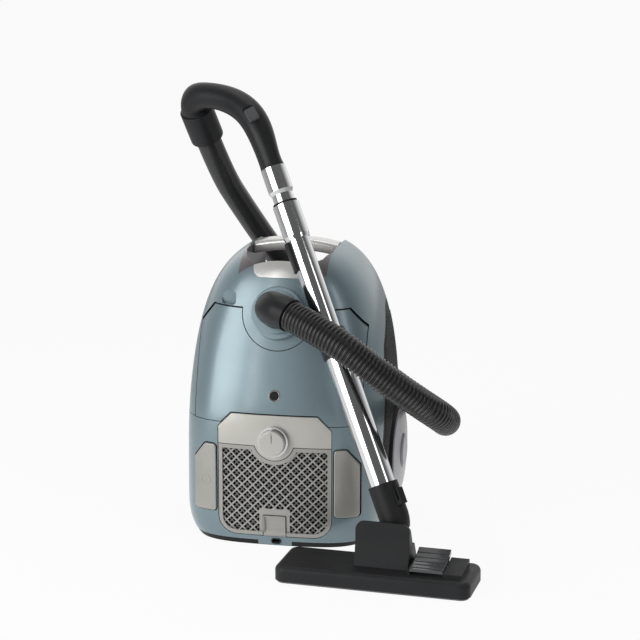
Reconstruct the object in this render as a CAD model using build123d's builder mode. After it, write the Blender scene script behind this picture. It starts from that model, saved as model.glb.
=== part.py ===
"""Canister vacuum cleaner, parked upright on its rear end with its wand standing in front of it.

Frame: X to the cleaner's right as seen from the front, Y towards its underside (the back, with the
wheels), Z up. The origin lies in the flat rear plate that the cleaner stands on. Millimetres.
"""

from build123d import *
import math
import os

os.makedirs("parts", exist_ok=True)

# Canister envelope
CANISTER_HEIGHT = 412.0
CANISTER_HALF_WIDTH = 146.0
WIDEST_Y = 50.0
FRONT_DEPTH = 163.0
BACK_DEPTH = 66.0
SIDE_ROUND_START = 100.0
FRONT_LEAN_START = 190.0
FRONT_LEAN = 0.2
FOOT_ROUND_HEIGHT = 60.0
FOOT_SIDE_INSET = 16.0
FOOT_FRONT_INSET = 5.0
SIDE_POWER = 3.0
CROWN_POWER = 8.0
FRONT_PULL_FOOT = 0.91
FRONT_PULL_CROWN = 0.75
BACK_PULL = 0.92
STATION_SHARES = (0.0, 0.05, 0.15, 0.3, 0.46, 0.6, 0.72, 0.82, 0.9, 0.945, 0.975, 0.993)
CROWN_STATION = 0.995
BISECTIONS = 40
SHELL_WALL = 3.0
SEAM_GAP = 1.0
SLIP = 0.3
REACH = 260.0

# Parting line between the two casings, seen from the side
PARTING_Y = -46.0
PARTING_LOW_Z = 120.0
PARTING_MID = (-8.0, 268.0)
PARTING_HIGH = (49.0, 317.0)
PARTING_END = (160.0, 352.0)
PARTING_ROUND = 40.0
REAR_PLATE = 7.0
CHIN_HALF_WIDTH = 24.0
CHIN_LIFT = 0.5

# Carry handle and its opening
OPENING_FLOOR_Z = 350.0
OPENING_FRONT_Y = -56.0
OPENING_FRONT_HALF = 40.0
OPENING_SHOULDER = (54.0, -38.0)
OPENING_BACK_HALF = 62.0
OPENING_BACK_FROM_Y = -5.0
BAR_HEIGHT = 18.0
BAR_DEPTH = 30.0
BAR_ROUND = 7.0
LIP_BOTTOM_Z = 375.0
LIP_CORNER = 12.0

# Dust lid
LID_HALF_WIDTH = 119.0
LID_BOTTOM_Z = 176.0
LID_TOP_Z = 334.0
LID_CHAMFER = (22.0, 27.0)
LID_SWING_DROP = 1.0
LID_SWING_CHAMFER = (23.6, 29.0)
LID_HINGE_Y = -103.5
LID_HINGE_Z = 181.0
LID_PIN_RADIUS = 1.5
LID_PIN_X = 62.0
LID_PIN_LENGTH = 22.0
LID_BOSS_RADIUS = 3.5
LID_BOSS_LENGTH = 6.5
LID_EAR_LENGTH = 8.0
LID_EAR_HEIGHT = 6.0
LID_EAR_FRONT = 1.9
RECESS_CENTRE_X = 73.0
RECESS_WIDTH = 22.0
RECESS_HEIGHT = 18.0
RECESS_DEPTH = 11.0
RECESS_ROUND = 5.0

# Hose inlet
INLET_Z = 328.5
INLET_Y = -84.0
INLET_TILT = 22.0
INLET_CLEAR_RADIUS = 51.0
INLET_FLANGE_RADIUS = 37.0
INLET_STEP_RADIUS = 30.0
INLET_BORE_RADIUS = 19.0
INLET_FLANGE_HEIGHT = 5.0
INLET_STEP_HEIGHT = 10.0
INLET_FLANGE_DEPTH = 9.0
INLET_TUBE_RADIUS = 24.0
INLET_DEPTH = 30.0

# Control panel, knob and indicator
PANEL_HALF_WIDTH = 81.0
PANEL_BOTTOM_Z = 145.0
PANEL_SHOULDER_Z = 170.0
PANEL_TOP_HALF = 61.0
PANEL_TOP_Z = 190.0
KNOB_Z = 153.5
KNOB_PAD_RADIUS = 29.0
KNOB_RING_RADIUS = 21.5
KNOB_RADIUS = 18.0
KNOB_RING_HEIGHT = 8.0
KNOB_HEIGHT = 15.0
KNOB_SHAFT_RADIUS = 3.0
KNOB_SHAFT_DEPTH = 12.0
KNOB_ROUND = 1.6
POINTER_WIDTH = 1.4
POINTER_DEPTH = 0.7
INDICATOR_Z = 216.7
INDICATOR_RADIUS = 8.6
INDICATOR_WINDOW_RADIUS = 6.6
INDICATOR_PROUD = 1.2

# Exhaust grille
GRILLE_BOTTOM_Z = 14.0
GRILLE_CORNER = 26.0
GRILLE_RIM = 6.0
GRILLE_PITCH = 11.0
GRILLE_BAR = 2.2
GRILLE_PLATE = 2.4
GRILLE_SINK = 2.0
LATCH_HALF_WIDTH = 15.8
LATCH_TOP_Z = 44.0
LATCH_PATCH_Z = 54.0
LATCH_THICK = 4.0
LATCH_SCOOP_RADIUS = 30.0
LATCH_SCOOP = 2.4
LATCH_EDGE = 1.6
FILTER_THICK = 8.0

# Side pedals
PEDAL_INNER_X = 84.0
PEDAL_OUTER_X = 118.0
PEDAL_TOP_Z = 143.0
PEDAL_BOTTOM_Z = 46.0
PEDAL_CHAMFER = (17.0, 22.0)
PEDAL_CORNER = 5.0
PEDAL_PROUD = 3.0
PEDAL_GAP = 1.4
PEDAL_THICK = 5.0
PEDAL_BEVEL = 1.6
SPRING_RADIUS = 5.0
SPRING_WALL = 1.2
SPRING_LENGTH = 26.0

# Wheels
WHEEL_Y = 60.0
WHEEL_Z = 100.0
WHEEL_RADIUS = 67.0
WHEEL_WELL_CLEAR = 4.0
WHEEL_INNER_X = 131.0
WHEEL_OUTER_X = 156.0
TYRE_THICK = 6.0
TYRE_WIDTH = 16.0
HUB_RADIUS = 24.0
HUB_DOME = 4.0
HUB_RISE = 1.0
HUB_ROUND = 4.0
HUB_SINK = 2.0
RIM_EDGE = 1.5
TYRE_INSET = 2.0
TYRE_ROUND = 2.5
RIM_LIP = 2.5
AXLE_RADIUS = 5.0
AXLE_FIT = 0.06

# Castor on the underside
CASTOR_Z = 290.0
CASTOR_STEM_RADIUS = 6.0
CASTOR_STEM_LENGTH = 16.0
CASTOR_BOSS_WALL = 5.0
CASTOR_WHEEL_RADIUS = 13.0
CASTOR_WHEEL_WIDTH = 14.0
CASTOR_TRAIL = 8.0
CASTOR_CHEEK = 3.0
CASTOR_CHEEK_HALF = 6.0
CASTOR_GAP = 0.5
CASTOR_PLATE = 3.0
CASTOR_PLATE_RADIUS = 18.0
CASTOR_POCKET_DEPTH = 24.0
CASTOR_POCKET_RADIUS = 27.0
CASTOR_AXLE_RADIUS = 2.5
CASTOR_PROUD = 11.0

# Inside the canister
BULKHEAD_LOW_Z = 178.0
BULKHEAD_THICK = 3.0
BULKHEAD_FRONT_Y = -92.0
BULKHEAD_HALF = 98.0
BOSS_RADIUS = 12.0
BOSS_DEPTH = 14.0
AXLE_END_GAP = 2.0
SCREW_PLACES = ((60.0, 205.0), (62.0, 316.0), (62.0, 30.0))
SCREW_HEAD_RADIUS = 3.5
SCREW_HEAD = 2.0
SCREW_SINK = 1.0
SCREW_RADIUS = 1.8
SCREW_LENGTH = 14.0
SCREW_BOSS_RADIUS = 6.0
SCREW_BOSS_LENGTH = 16.0
REEL_RADIUS = 60.0
REEL_Y = 10.0
REEL_Z = 95.0
REEL_LEFT_X = -95.0
REEL_RIGHT_X = -45.0
REEL_FLANGE = 3.0
REEL_WOUND_RADIUS = 52.0
REEL_AXLE_RADIUS = 4.0
REEL_POST = 6.0
REEL_POST_HALF = 9.0
MOTOR_X = 52.0
MOTOR_Y = 15.0
MOTOR_RADIUS = 52.0
MOTOR_WALL = 3.0
MOTOR_LOW_Z = 60.0
MOTOR_HIGH_Z = 160.0
MOTOR_EYE_RADIUS = 20.0
ROTOR_RADIUS = 40.0
ROTOR_GAP = 8.0
ROTOR_SHAFT_RADIUS = 5.0
MOTOR_RING_INNER = 30.0
MOTOR_RING_OUTER = 36.0
MOTOR_RING_HIGH_Z = 50.0
FILTER_HALF = 30.0
FILTER_LIFT = 9.0
BAG_HALF_WIDTH = 85.0
BAG_FRONT_Y = -60.0
BAG_BACK_Y = 70.0
BAG_HIGH_Z = 298.0
BAG_ROUND = 24.0
BAG_PLATE_RADIUS = 31.0
BAG_PLATE = 3.0
BAG_WALL = 2.0
SEAL_INSET = 10.0
SEAL_WIDTH = 4.0
SEAL_THICK = 2.0
BOARD_HALF_WIDTH = 45.0
BOARD_HALF_HEIGHT = 12.0
BOARD_THICK = 1.6
BOARD_GAP = 7.0
POT_RADIUS = 8.0
SEAT_THICK = 8.0
SPRING_Z = 95.0
SPRING_X = 99.0
OUTLET_HALF_WIDTH = 7.0
OUTLET_HALF_HEIGHT = 4.0
OUTLET_X = 2.0
OUTLET_Z = 7.0
OUTLET_WALL = 1.4
OUTLET_DEPTH = 14.0
OUTLET_PROUD = 0.8
BAR_GAP = 1.0
BAR_Y = 50.0
BAR_END_Z = 404.6

# Wand
WAND_FOOT = (167.0, -185.0, 120.0)
WAND_LEAN = (-0.3879, 0.2818, 0.8776)
LOWER_TUBE_RADIUS = 17.5
LOWER_TUBE_START = -32.0
LOWER_TUBE_END = 210.0
TUBE_WALL = 1.2
TUBE_FIT = 0.3
UPPER_TUBE_START = 140.0
UPPER_TUBE_END = 398.0
LOCK_START = 186.0
LOCK_END = 224.0
LOCK_RADIUS = 21.0
LOCK_ROUND = 2.0
LOCK_BUTTON_LENGTH = 16.0
LOCK_BUTTON_WIDTH = 9.0
LOCK_BUTTON_PROUD = 3.5
LOCK_BUTTON_TRAVEL = 2.0
LOCK_BUTTON_SINK = 1.2
COLLAR_START = 357.0
COLLAR_END = 408.0
COLLAR_RADIUS = 18.3
NECK_RADIUS = 14.5
FERRULE_START = 423.0
FERRULE_END = 462.0
FERRULE_RADIUS = 17.3
SHOULDER = 5.0
CLIP_START = 314.0
CLIP_END = 355.0
CLIP_THICK = 4.0
GRIP_APEX = (-93.0, 0.0, 613.0)
GRIP_RADII = (17.0, 18.0, 19.5, 18.5, 19.5, 21.5)
GRIP_SHARES = (0.0, 0.22, 0.45, 0.65, 0.84, 1.0)
SLIDER_SHARE = 0.34
SLIDER_LENGTH = 26.0
SLIDER_WIDTH = 15.0
SLIDER_PROUD = 4.5
SLIDER_CORNER = 2.5
SLIDER_SINK = 2.0
SLIDER_TRAVEL = 6.0
CUFF_RADIUS = 24.0
CUFF_LENGTH = 44.0
CUFF_OVERLAP = 8.0

# Hose
HOSE_RADIUS = 21.0
HOSE_ROOT_RADIUS = 18.6
HOSE_BORE_RADIUS = 16.0
HOSE_RIBS = 200
HOSE_SMOOTH_RIBS = 52
HOSE_SLEEVE_RADIUS = 18.0
HOSE_CREST_SHARE = 0.45
HOSE_FLANK_SHARE = 0.2
HOSE_BEND_SHARE = 0.45
HOSE_GAP_RIBS = 30
HOSE_ROUTE = (
    (33.6, -155.5, 342.7),
    (97.0, -187.6, 322.4),
    (150.0, -190.0, 284.0),
    (198.0, -181.0, 248.0),
    (238.0, -150.0, 212.0),
    (236.0, -75.0, 184.0),
    (214.0, 20.0, 162.0),
    (186.0, 112.0, 150.0),
    (124.0, 174.0, 165.0),
    (40.0, 193.0, 225.0),
    (-27.0, 199.0, 305.0),
    (-72.0, 180.0, 372.0),
    (-105.0, 140.0, 440.0),
    (-125.0, 104.9, 489.8),
    (-138.0, 62.0, 556.0),
)
ELBOW_RADIUS = 23.0
ELBOW_RUN = 58.0
ELBOW_BEND = 30.0
ELBOW_PLUG_DEPTH = 18.0
ELBOW_OVERRUN = 14.0

# Floor head
HEAD_CENTRE = (166.0, -221.0)
HEAD_YAW = -4.4
HEAD_HALF_LENGTH = 133.0
HEAD_HALF_DEPTH = 45.0
HEAD_HEIGHT = 24.0
HEAD_ROUND = 8.0
HEAD_CORNER = 14.0
SOLE_THICK = 3.0
SOLE_INSET = 3.0
HOOD_LOW_A = -30.0
HOOD_HIGH_A = 44.0
HOOD_FRONT = 20.0
HOOD_FOOT_Z = 22.0
HOOD_WAIST = (7.0, 45.0)
HOOD_TOP_Z = 84.0
HOOD_ROOM = 6.0
HOOD_WALL = 3.2
HOOD_CORNER = 12.0
HOOD_FLOOR_Z = 20.0
CHEEK_TOP_Z = 50.0
KNUCKLE_RADIUS = 19.0
KNUCKLE_BARREL_RADIUS = 16.0
KNUCKLE_AXIS_Z = 38.0
KNUCKLE_PIN_RADIUS = 5.0
KNUCKLE_PIN_END = 4.0
KNUCKLE_GAP = 0.6
KNUCKLE_CLEAR = 3.0
SOCKET_RADIUS = 20.5
SOCKET_TOP = 4.0
SOCKET_CORNER = -45.0
SOCKET_BEND = 25.0
SOCKET_FOOT_Z = 72.0
SWIVEL_GAP = 0.5
SWIVEL_PIN_RADIUS = 12.0
SWIVEL_PIN_LENGTH = 8.0
HOOK_LOW = -30.0
HOOK_HIGH = -8.0
HOOK_REACH = 9.0
HOOK_WIDTH = 10.0
HOOK_FLOOR = 6.0
HOOK_SLOT = 4.0
BRUSH_PEDAL_A = (50.0, 94.0)
BRUSH_PEDAL_B = (-28.0, 26.0)
BRUSH_PEDAL_LOW_Z = 26.5
BRUSH_PEDAL_RISE = 12.0
BRUSH_PEDAL_THICK = 6.0
BRUSH_PIN_RADIUS = 2.5
BRUSH_STRIP_HALF = 110.0
BRUSH_STRIP_DEPTH = 8.0
BRUSH_STRIP_B = -30.0
BRUSH_STRIP_LOW_Z = 5.0
BRUSH_STRIP_HEIGHT = 9.0
PEDAL_WALL = 4.0
MOUTH_B = -12.0
MOUTH_HALF = 105.0
MOUTH_DEPTH = 16.0
MOUTH_TOP_Z = 13.0
END_BLOCK_RISE = 5.0


def crown_share(z):
    """Share of the way from the widest part of the canister up to its crown."""
    share = (z - SIDE_ROUND_START) / (CANISTER_HEIGHT - SIDE_ROUND_START)
    return min(max(share, 0.0), CROWN_STATION)


def foot_inset(z):
    """How far the foot has drawn in at height z, from 0 to 1."""
    reach = max(FOOT_ROUND_HEIGHT - z, 0.0) / FOOT_ROUND_HEIGHT
    return 1.0 - math.sqrt(1.0 - reach**2)


def half_width(z):
    share = crown_share(z)
    crown = CANISTER_HALF_WIDTH * (1.0 - share**SIDE_POWER) ** (1.0 / SIDE_POWER)
    return crown - FOOT_SIDE_INSET * foot_inset(z)


def depth(z, level_depth, lean):
    share = crown_share(z)
    leaning = level_depth - lean * max(z - FRONT_LEAN_START, 0.0)
    crown = leaning * (1.0 - share**CROWN_POWER) ** (1.0 / CROWN_POWER)
    return crown - FOOT_FRONT_INSET * foot_inset(z)


def corner_pull(z, foot_pull, crown_pull):
    """How far the corner curve's handles reach, as a share of the half width and depth."""
    return foot_pull + (crown_pull - foot_pull) * crown_share(z)


def front_y(x, z):
    """Y of the canister's outer front face at a place seen from the front."""
    pull = corner_pull(z, FRONT_PULL_FOOT, FRONT_PULL_CROWN)
    low, high = 0.0, 1.0
    for _ in range(BISECTIONS):
        t = (low + high) / 2.0
        across = (1 - t) ** 3 + 3 * (1 - t) ** 2 * t + 3 * (1 - t) * t**2 * pull
        if half_width(z) * across > abs(x):
            low = t
        else:
            high = t
    along = 3 * (1 - t) ** 2 * t * pull + 3 * (1 - t) * t**2 + t**3
    return WIDEST_Y - depth(z, FRONT_DEPTH, FRONT_LEAN) * along


def quarter_curve(wide, deep, pull):
    """A quarter of a section, from the widest point at the side to the middle of the front or back."""
    side = (wide, WIDEST_Y)
    middle = (0.0, WIDEST_Y + deep)
    Bezier(side, (wide, WIDEST_Y + deep * pull), (wide * pull, WIDEST_Y + deep), middle)


def canister_solid(inset):
    """The canister's outer form, drawn in by an even inset."""
    with BuildPart() as body:
        for share in STATION_SHARES:
            station = share * CANISTER_HEIGHT
            z = inset + share * (CANISTER_HEIGHT - 2.0 * inset)
            wide = half_width(station) - inset
            front = depth(station, FRONT_DEPTH, FRONT_LEAN) - inset
            back = depth(station, BACK_DEPTH, 0.0) - inset
            pull = corner_pull(station, FRONT_PULL_FOOT, FRONT_PULL_CROWN)
            with BuildSketch(Plane.XY.offset(z)):
                with BuildLine():
                    quarter_curve(wide, -front, pull)
                    quarter_curve(-wide, -front, pull)
                    quarter_curve(-wide, back, BACK_PULL)
                    quarter_curve(wide, back, BACK_PULL)
                make_face()
        loft()
    return body.part


def save(piece, name):
    """Label a finished piece and write it under its name."""
    piece.part.label = name
    export_step(piece.part, f"parts/{name}.step")


def front_prism(draw, grow=0.0, start_y=0.0, end_y=-REACH):
    """A prism towards the front, from an outline drawn in front view and grown all round."""
    with BuildPart() as prism:
        with BuildSketch(Plane.XZ.offset(-start_y)):
            draw()
            if grow:
                offset(amount=grow, kind=Kind.ARC)
        extrude(amount=start_y - end_y)
    return prism.part


def side_prism(draw):
    """A prism across the whole cleaner, from an outline drawn in side view."""
    with BuildPart() as prism:
        with BuildSketch(Plane.YZ):
            draw()
        extrude(amount=REACH, both=True)
    return prism.part


def plan_prism(draw, low_z, high_z, grow=0.0):
    """An upright prism from an outline drawn in plan view and grown all round."""
    with BuildPart() as prism:
        with BuildSketch(Plane.XY.offset(low_z)):
            draw()
            if grow:
                offset(amount=grow, kind=Kind.ARC)
        extrude(amount=high_z - low_z)
    return prism.part


def mirrored_outline(*right_side):
    """A closed face from the points of its right half, listed from bottom to top."""
    left_side = [(-x, z) for x, z in reversed(right_side)]
    with BuildLine() as edge:
        Polyline(*right_side, *left_side, close=True)
    make_face(edge.edges())


def side_cylinder(radius, start_x, end_x, y, z):
    """A round bar across the cleaner."""
    with BuildPart() as bar:
        with BuildSketch(Plane.YZ.offset(start_x)):
            with Locations((y, z)):
                Circle(radius)
        extrude(amount=end_x - start_x)
    return bar.part


def front_cylinder(radius, x, z, back_y, front_end_y):
    """A round bar pointing to the front."""
    with BuildPart() as bar:
        with BuildSketch(Plane.XZ.offset(-back_y)):
            with Locations((x, z)):
                Circle(radius)
        extrude(amount=back_y - front_end_y)
    return bar.part


def upright_cylinder(radius, x, y, low_z, high_z):
    """A standing round bar."""
    with BuildPart() as bar:
        with BuildSketch(Plane.XY.offset(low_z)):
            with Locations((x, y)):
                Circle(radius)
        extrude(amount=high_z - low_z)
    return bar.part


def block(low, high):
    """A plain block between two corners."""
    with BuildPart() as solid:
        with BuildSketch(Plane.XY.offset(low[2])):
            with Locations(((low[0] + high[0]) / 2.0, (low[1] + high[1]) / 2.0)):
                Rectangle(high[0] - low[0], high[1] - low[1])
        extrude(amount=high[2] - low[2])
    return solid.part


# Outlines of the canister's openings
def opening_outline():
    mirrored_outline(
        (OPENING_FRONT_HALF, OPENING_FRONT_Y),
        OPENING_SHOULDER,
        (OPENING_BACK_HALF, OPENING_BACK_FROM_Y),
        (OPENING_BACK_HALF, REACH),
    )


def upper_casing_outline():
    with BuildLine() as edge:
        FilletPolyline(
            (PARTING_Y, REAR_PLATE),
            (PARTING_Y, PARTING_LOW_Z),
            PARTING_MID,
            PARTING_HIGH,
            PARTING_END,
            radius=PARTING_ROUND,
        )
        Polyline(
            PARTING_END,
            (PARTING_END[0], CANISTER_HEIGHT + REACH),
            (-REACH, CANISTER_HEIGHT + REACH),
            (-REACH, REAR_PLATE),
            (PARTING_Y, REAR_PLATE),
        )
    make_face(edge.edges())


def lid_shape(top_z, chamfer):
    """The lid's outline below a top edge with two sloped corners."""
    slant = (PANEL_HALF_WIDTH - PANEL_TOP_HALF) / (PANEL_TOP_Z - PANEL_SHOULDER_Z)
    mirrored_outline(
        (PANEL_TOP_HALF + SEAM_GAP, PANEL_TOP_Z + SEAM_GAP),
        (PANEL_TOP_HALF + SEAM_GAP + slant * (PANEL_TOP_Z + SEAM_GAP - LID_BOTTOM_Z), LID_BOTTOM_Z),
        (LID_HALF_WIDTH, LID_BOTTOM_Z),
        (LID_HALF_WIDTH, top_z - chamfer[1]),
        (LID_HALF_WIDTH - chamfer[0], top_z),
    )
    with Locations((0.0, INLET_Z)):
        Circle(INLET_CLEAR_RADIUS, mode=Mode.SUBTRACT)
    with Locations((0.0, LID_TOP_Z)):
        Rectangle(2.0 * INLET_CLEAR_RADIUS, 2.0 * (LID_TOP_Z - INLET_Z), mode=Mode.SUBTRACT)


def lid_outline():
    """The opening of the dust chamber."""
    lid_shape(LID_TOP_Z, LID_CHAMFER)


def lid_plate_outline():
    """The lid itself, lower at its top corners so that it swings clear of the casing."""
    lid_shape(LID_TOP_Z - LID_SWING_DROP, LID_SWING_CHAMFER)


def panel_outline():
    mirrored_outline(
        (PANEL_HALF_WIDTH, PANEL_BOTTOM_Z),
        (PANEL_HALF_WIDTH, PANEL_SHOULDER_Z),
        (PANEL_TOP_HALF, PANEL_TOP_Z),
    )
    with Locations((0.0, KNOB_Z)):
        Circle(KNOB_PAD_RADIUS)


def grille_outline():
    with BuildLine() as edge:
        FilletPolyline(
            (PANEL_HALF_WIDTH, PANEL_BOTTOM_Z),
            (PANEL_HALF_WIDTH, GRILLE_BOTTOM_Z),
            (-PANEL_HALF_WIDTH, GRILLE_BOTTOM_Z),
            (-PANEL_HALF_WIDTH, PANEL_BOTTOM_Z),
            radius=GRILLE_CORNER,
        )
        Line((-PANEL_HALF_WIDTH, PANEL_BOTTOM_Z), (PANEL_HALF_WIDTH, PANEL_BOTTOM_Z))
    make_face(edge.edges())
    with Locations((0.0, KNOB_Z)):
        Circle(KNOB_PAD_RADIUS, mode=Mode.SUBTRACT)


def latch_outline():
    with Locations((0.0, (GRILLE_BOTTOM_Z + LATCH_TOP_Z) / 2.0)):
        Rectangle(2.0 * LATCH_HALF_WIDTH, LATCH_TOP_Z - GRILLE_BOTTOM_Z)


def pedal_outline(side):
    """Outline of the pedal on one side: -1 is the rewind pedal, 1 the power pedal."""
    points = (
        (PEDAL_INNER_X, PEDAL_BOTTOM_Z),
        (PEDAL_OUTER_X, PEDAL_BOTTOM_Z),
        (PEDAL_OUTER_X, PEDAL_TOP_Z - PEDAL_CHAMFER[1]),
        (PEDAL_OUTER_X - PEDAL_CHAMFER[0], PEDAL_TOP_Z),
        (PEDAL_INNER_X, PEDAL_TOP_Z),
    )
    with BuildLine() as edge:
        FilletPolyline(*[(side * x, z) for x, z in points], radius=PEDAL_CORNER, close=True)
    make_face(edge.edges())


def recess_outline():
    with Locations((-RECESS_CENTRE_X, LID_TOP_Z + SEAM_GAP + RECESS_HEIGHT / 2.0)):
        RectangleRounded(RECESS_WIDTH, RECESS_HEIGHT, RECESS_ROUND)


def lip_outline():
    with BuildLine() as edge:
        FilletPolyline(
            (OPENING_FRONT_HALF, CANISTER_HEIGHT),
            (OPENING_FRONT_HALF, LIP_BOTTOM_Z),
            (-OPENING_FRONT_HALF, LIP_BOTTOM_Z),
            (-OPENING_FRONT_HALF, CANISTER_HEIGHT),
            radius=LIP_CORNER,
        )
        Line((-OPENING_FRONT_HALF, CANISTER_HEIGHT), (OPENING_FRONT_HALF, CANISTER_HEIGHT))
    make_face(edge.edges())


# Spaces and walls of the two casings
outer = canister_solid(0.0)
inner = canister_solid(SHELL_WALL)
opening = plan_prism(opening_outline, OPENING_FLOOR_Z, CANISTER_HEIGHT + SHELL_WALL)
opening_walled = plan_prism(
    opening_outline, OPENING_FLOOR_Z - SHELL_WALL, CANISTER_HEIGHT + SHELL_WALL, grow=SHELL_WALL
)
recess_floor_y = front_y(RECESS_CENTRE_X, LID_TOP_Z) + RECESS_DEPTH
recess = front_prism(recess_outline, start_y=recess_floor_y)
recess_walled = front_prism(recess_outline, grow=SHELL_WALL, start_y=recess_floor_y + SHELL_WALL)
upper_zone = side_prism(upper_casing_outline)
chin_zone = block((-CHIN_HALF_WIDTH, -REACH, CHIN_LIFT), (CHIN_HALF_WIDTH, PARTING_Y, REAR_PLATE))
inlet_axis = Plane(
    origin=(0.0, INLET_Y, INLET_Z),
    x_dir=(1.0, 0.0, 0.0),
    z_dir=(0.0, -math.cos(math.radians(INLET_TILT)), math.sin(math.radians(INLET_TILT))),
)
back_y = WIDEST_Y + BACK_DEPTH
well_radius = WHEEL_RADIUS + WHEEL_WELL_CLEAR
well_x = WHEEL_INNER_X - WHEEL_WELL_CLEAR
castor_plane = Plane(origin=(0.0, back_y, CASTOR_Z), x_dir=(1.0, 0.0, 0.0), z_dir=(0.0, 1.0, 0.0))

with BuildPart() as cavity:
    add(inner)
    add(opening_walled, mode=Mode.SUBTRACT)
    add(recess_walled, mode=Mode.SUBTRACT)
    for side in (-1.0, 1.0):
        well_wall_x = side * (well_x - SHELL_WALL)
        add(
            side_cylinder(well_radius + SHELL_WALL, well_wall_x, side * REACH, WHEEL_Y, WHEEL_Z),
            mode=Mode.SUBTRACT,
        )
    with BuildSketch(castor_plane.offset(-CASTOR_POCKET_DEPTH - SHELL_WALL)):
        Circle(CASTOR_POCKET_RADIUS + SHELL_WALL)
    extrude(amount=CASTOR_POCKET_DEPTH + SHELL_WALL, mode=Mode.SUBTRACT)

with BuildPart() as casing:
    add(outer)
    add(cavity.part, mode=Mode.SUBTRACT)
    add(opening, mode=Mode.SUBTRACT)
    add(recess, mode=Mode.SUBTRACT)
    for side in (-1.0, 1.0):
        add(
            side_cylinder(well_radius, side * well_x, side * REACH, WHEEL_Y, WHEEL_Z),
            mode=Mode.SUBTRACT,
        )
    with BuildSketch(castor_plane.offset(-CASTOR_POCKET_DEPTH)):
        Circle(CASTOR_POCKET_RADIUS)
    extrude(amount=CASTOR_POCKET_DEPTH + SHELL_WALL, mode=Mode.SUBTRACT)

below_lid = block((-REACH, -REACH, -REACH), (REACH, REACH, LID_BOTTOM_Z + SEAM_GAP / 2.0))
above_cowl = block((-REACH, -REACH, LID_BOTTOM_Z - SEAM_GAP / 2.0), (REACH, REACH, REACH + CANISTER_HEIGHT))
latch_back = canister_solid(LATCH_THICK)
lattice_front = canister_solid(GRILLE_SINK)
lattice_back = canister_solid(GRILLE_SINK + GRILLE_PLATE)
pedal_front = canister_solid(-PEDAL_PROUD)
pedal_back = canister_solid(PEDAL_THICK - PEDAL_PROUD)


def cut_inlet(radius, low, high):
    """A round bar on the axis of the hose inlet."""
    with BuildPart() as bar:
        with BuildSketch(inlet_axis.offset(low)):
            Circle(radius)
        extrude(amount=high - low)
    return bar.part


with BuildPart() as upper_shell:
    add(casing.part)
    add(upper_zone, mode=Mode.INTERSECT)
    add(below_lid, mode=Mode.SUBTRACT)
    add(front_prism(lid_outline, SEAM_GAP / 2.0), mode=Mode.SUBTRACT)
    add(front_prism(panel_outline, SEAM_GAP / 2.0), mode=Mode.SUBTRACT)
    add(front_prism(lip_outline, SLIP, start_y=OPENING_SHOULDER[1]), mode=Mode.SUBTRACT)
    add(cut_inlet(INLET_FLANGE_RADIUS, -INLET_FLANGE_DEPTH, INLET_DEPTH), mode=Mode.SUBTRACT)
save(upper_shell, "upper_shell")

with BuildPart() as grip_lip:
    add(outer)
    add(opening, mode=Mode.SUBTRACT)
    add(front_prism(lip_outline, start_y=OPENING_SHOULDER[1]), mode=Mode.INTERSECT)
    add(front_prism(lip_outline, start_y=OPENING_FRONT_Y), mode=Mode.INTERSECT)
save(grip_lip, "grip_lip")

with BuildPart() as carry_handle:
    bar_end = OPENING_BACK_HALF - BAR_GAP
    with BuildSketch(Plane.XZ.offset(-BAR_Y - BAR_DEPTH / 2.0)):
        with BuildLine():
            crest = ThreePointArc((-bar_end, BAR_END_Z), (0.0, CANISTER_HEIGHT), (bar_end, BAR_END_Z))
            belly = ThreePointArc(
                (-bar_end, BAR_END_Z - BAR_HEIGHT),
                (0.0, CANISTER_HEIGHT - BAR_HEIGHT),
                (bar_end, BAR_END_Z - BAR_HEIGHT),
            )
            Line(crest @ 0, belly @ 0)
            Line(crest @ 1, belly @ 1)
        make_face()
    extrude(amount=BAR_DEPTH)
    fillet(carry_handle.edges().filter_by(GeomType.CIRCLE), radius=BAR_ROUND)
    for side in (-1.0, 1.0):
        with BuildSketch(Plane.YZ.offset(side * bar_end)):
            with Locations((BAR_Y, BAR_END_Z - BAR_HEIGHT / 2.0)):
                RectangleRounded(BAR_DEPTH - BAR_ROUND, BAR_HEIGHT - BAR_ROUND, BAR_ROUND / 2.0)
        extrude(amount=side * BAR_GAP)
save(carry_handle, "carry_handle")

lid_slope = math.atan(FRONT_LEAN)
indicator_plane = Plane(
    origin=(0.0, front_y(0.0, INDICATOR_Z), INDICATOR_Z),
    x_dir=(1.0, 0.0, 0.0),
    z_dir=(0.0, -math.cos(lid_slope), math.sin(lid_slope)),
)

with BuildPart() as indicator_window:
    with BuildSketch(indicator_plane.offset(-SEAL_THICK)):
        Circle(INDICATOR_WINDOW_RADIUS)
    extrude(amount=SEAL_THICK + INDICATOR_PROUD / 2.0)
save(indicator_window, "indicator_window")

with BuildPart() as indicator_ring:
    with BuildSketch(indicator_plane.offset(-SEAL_THICK)):
        Circle(INDICATOR_RADIUS)
        Circle(INDICATOR_WINDOW_RADIUS, mode=Mode.SUBTRACT)
    extrude(amount=SEAL_THICK + INDICATOR_PROUD)
save(indicator_ring, "indicator_ring")

with BuildPart() as lid_hinge_pins:
    for side in (-1.0, 1.0):
        start = side * LID_PIN_X
        add(side_cylinder(LID_PIN_RADIUS, start, start + side * LID_PIN_LENGTH, LID_HINGE_Y, LID_HINGE_Z))
save(lid_hinge_pins, "lid_hinge_pins")

lid_pin_end_x = LID_PIN_X + LID_PIN_LENGTH


def lid_boss(side):
    """The lid's half of one hinge, kept inside the outer form."""
    with BuildPart() as boss:
        end = side * (lid_pin_end_x + SLIP)
        add(side_cylinder(LID_BOSS_RADIUS, end - side * LID_BOSS_LENGTH, end, LID_HINGE_Y, LID_HINGE_Z))
        add(outer, mode=Mode.INTERSECT)
    return boss.part


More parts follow.
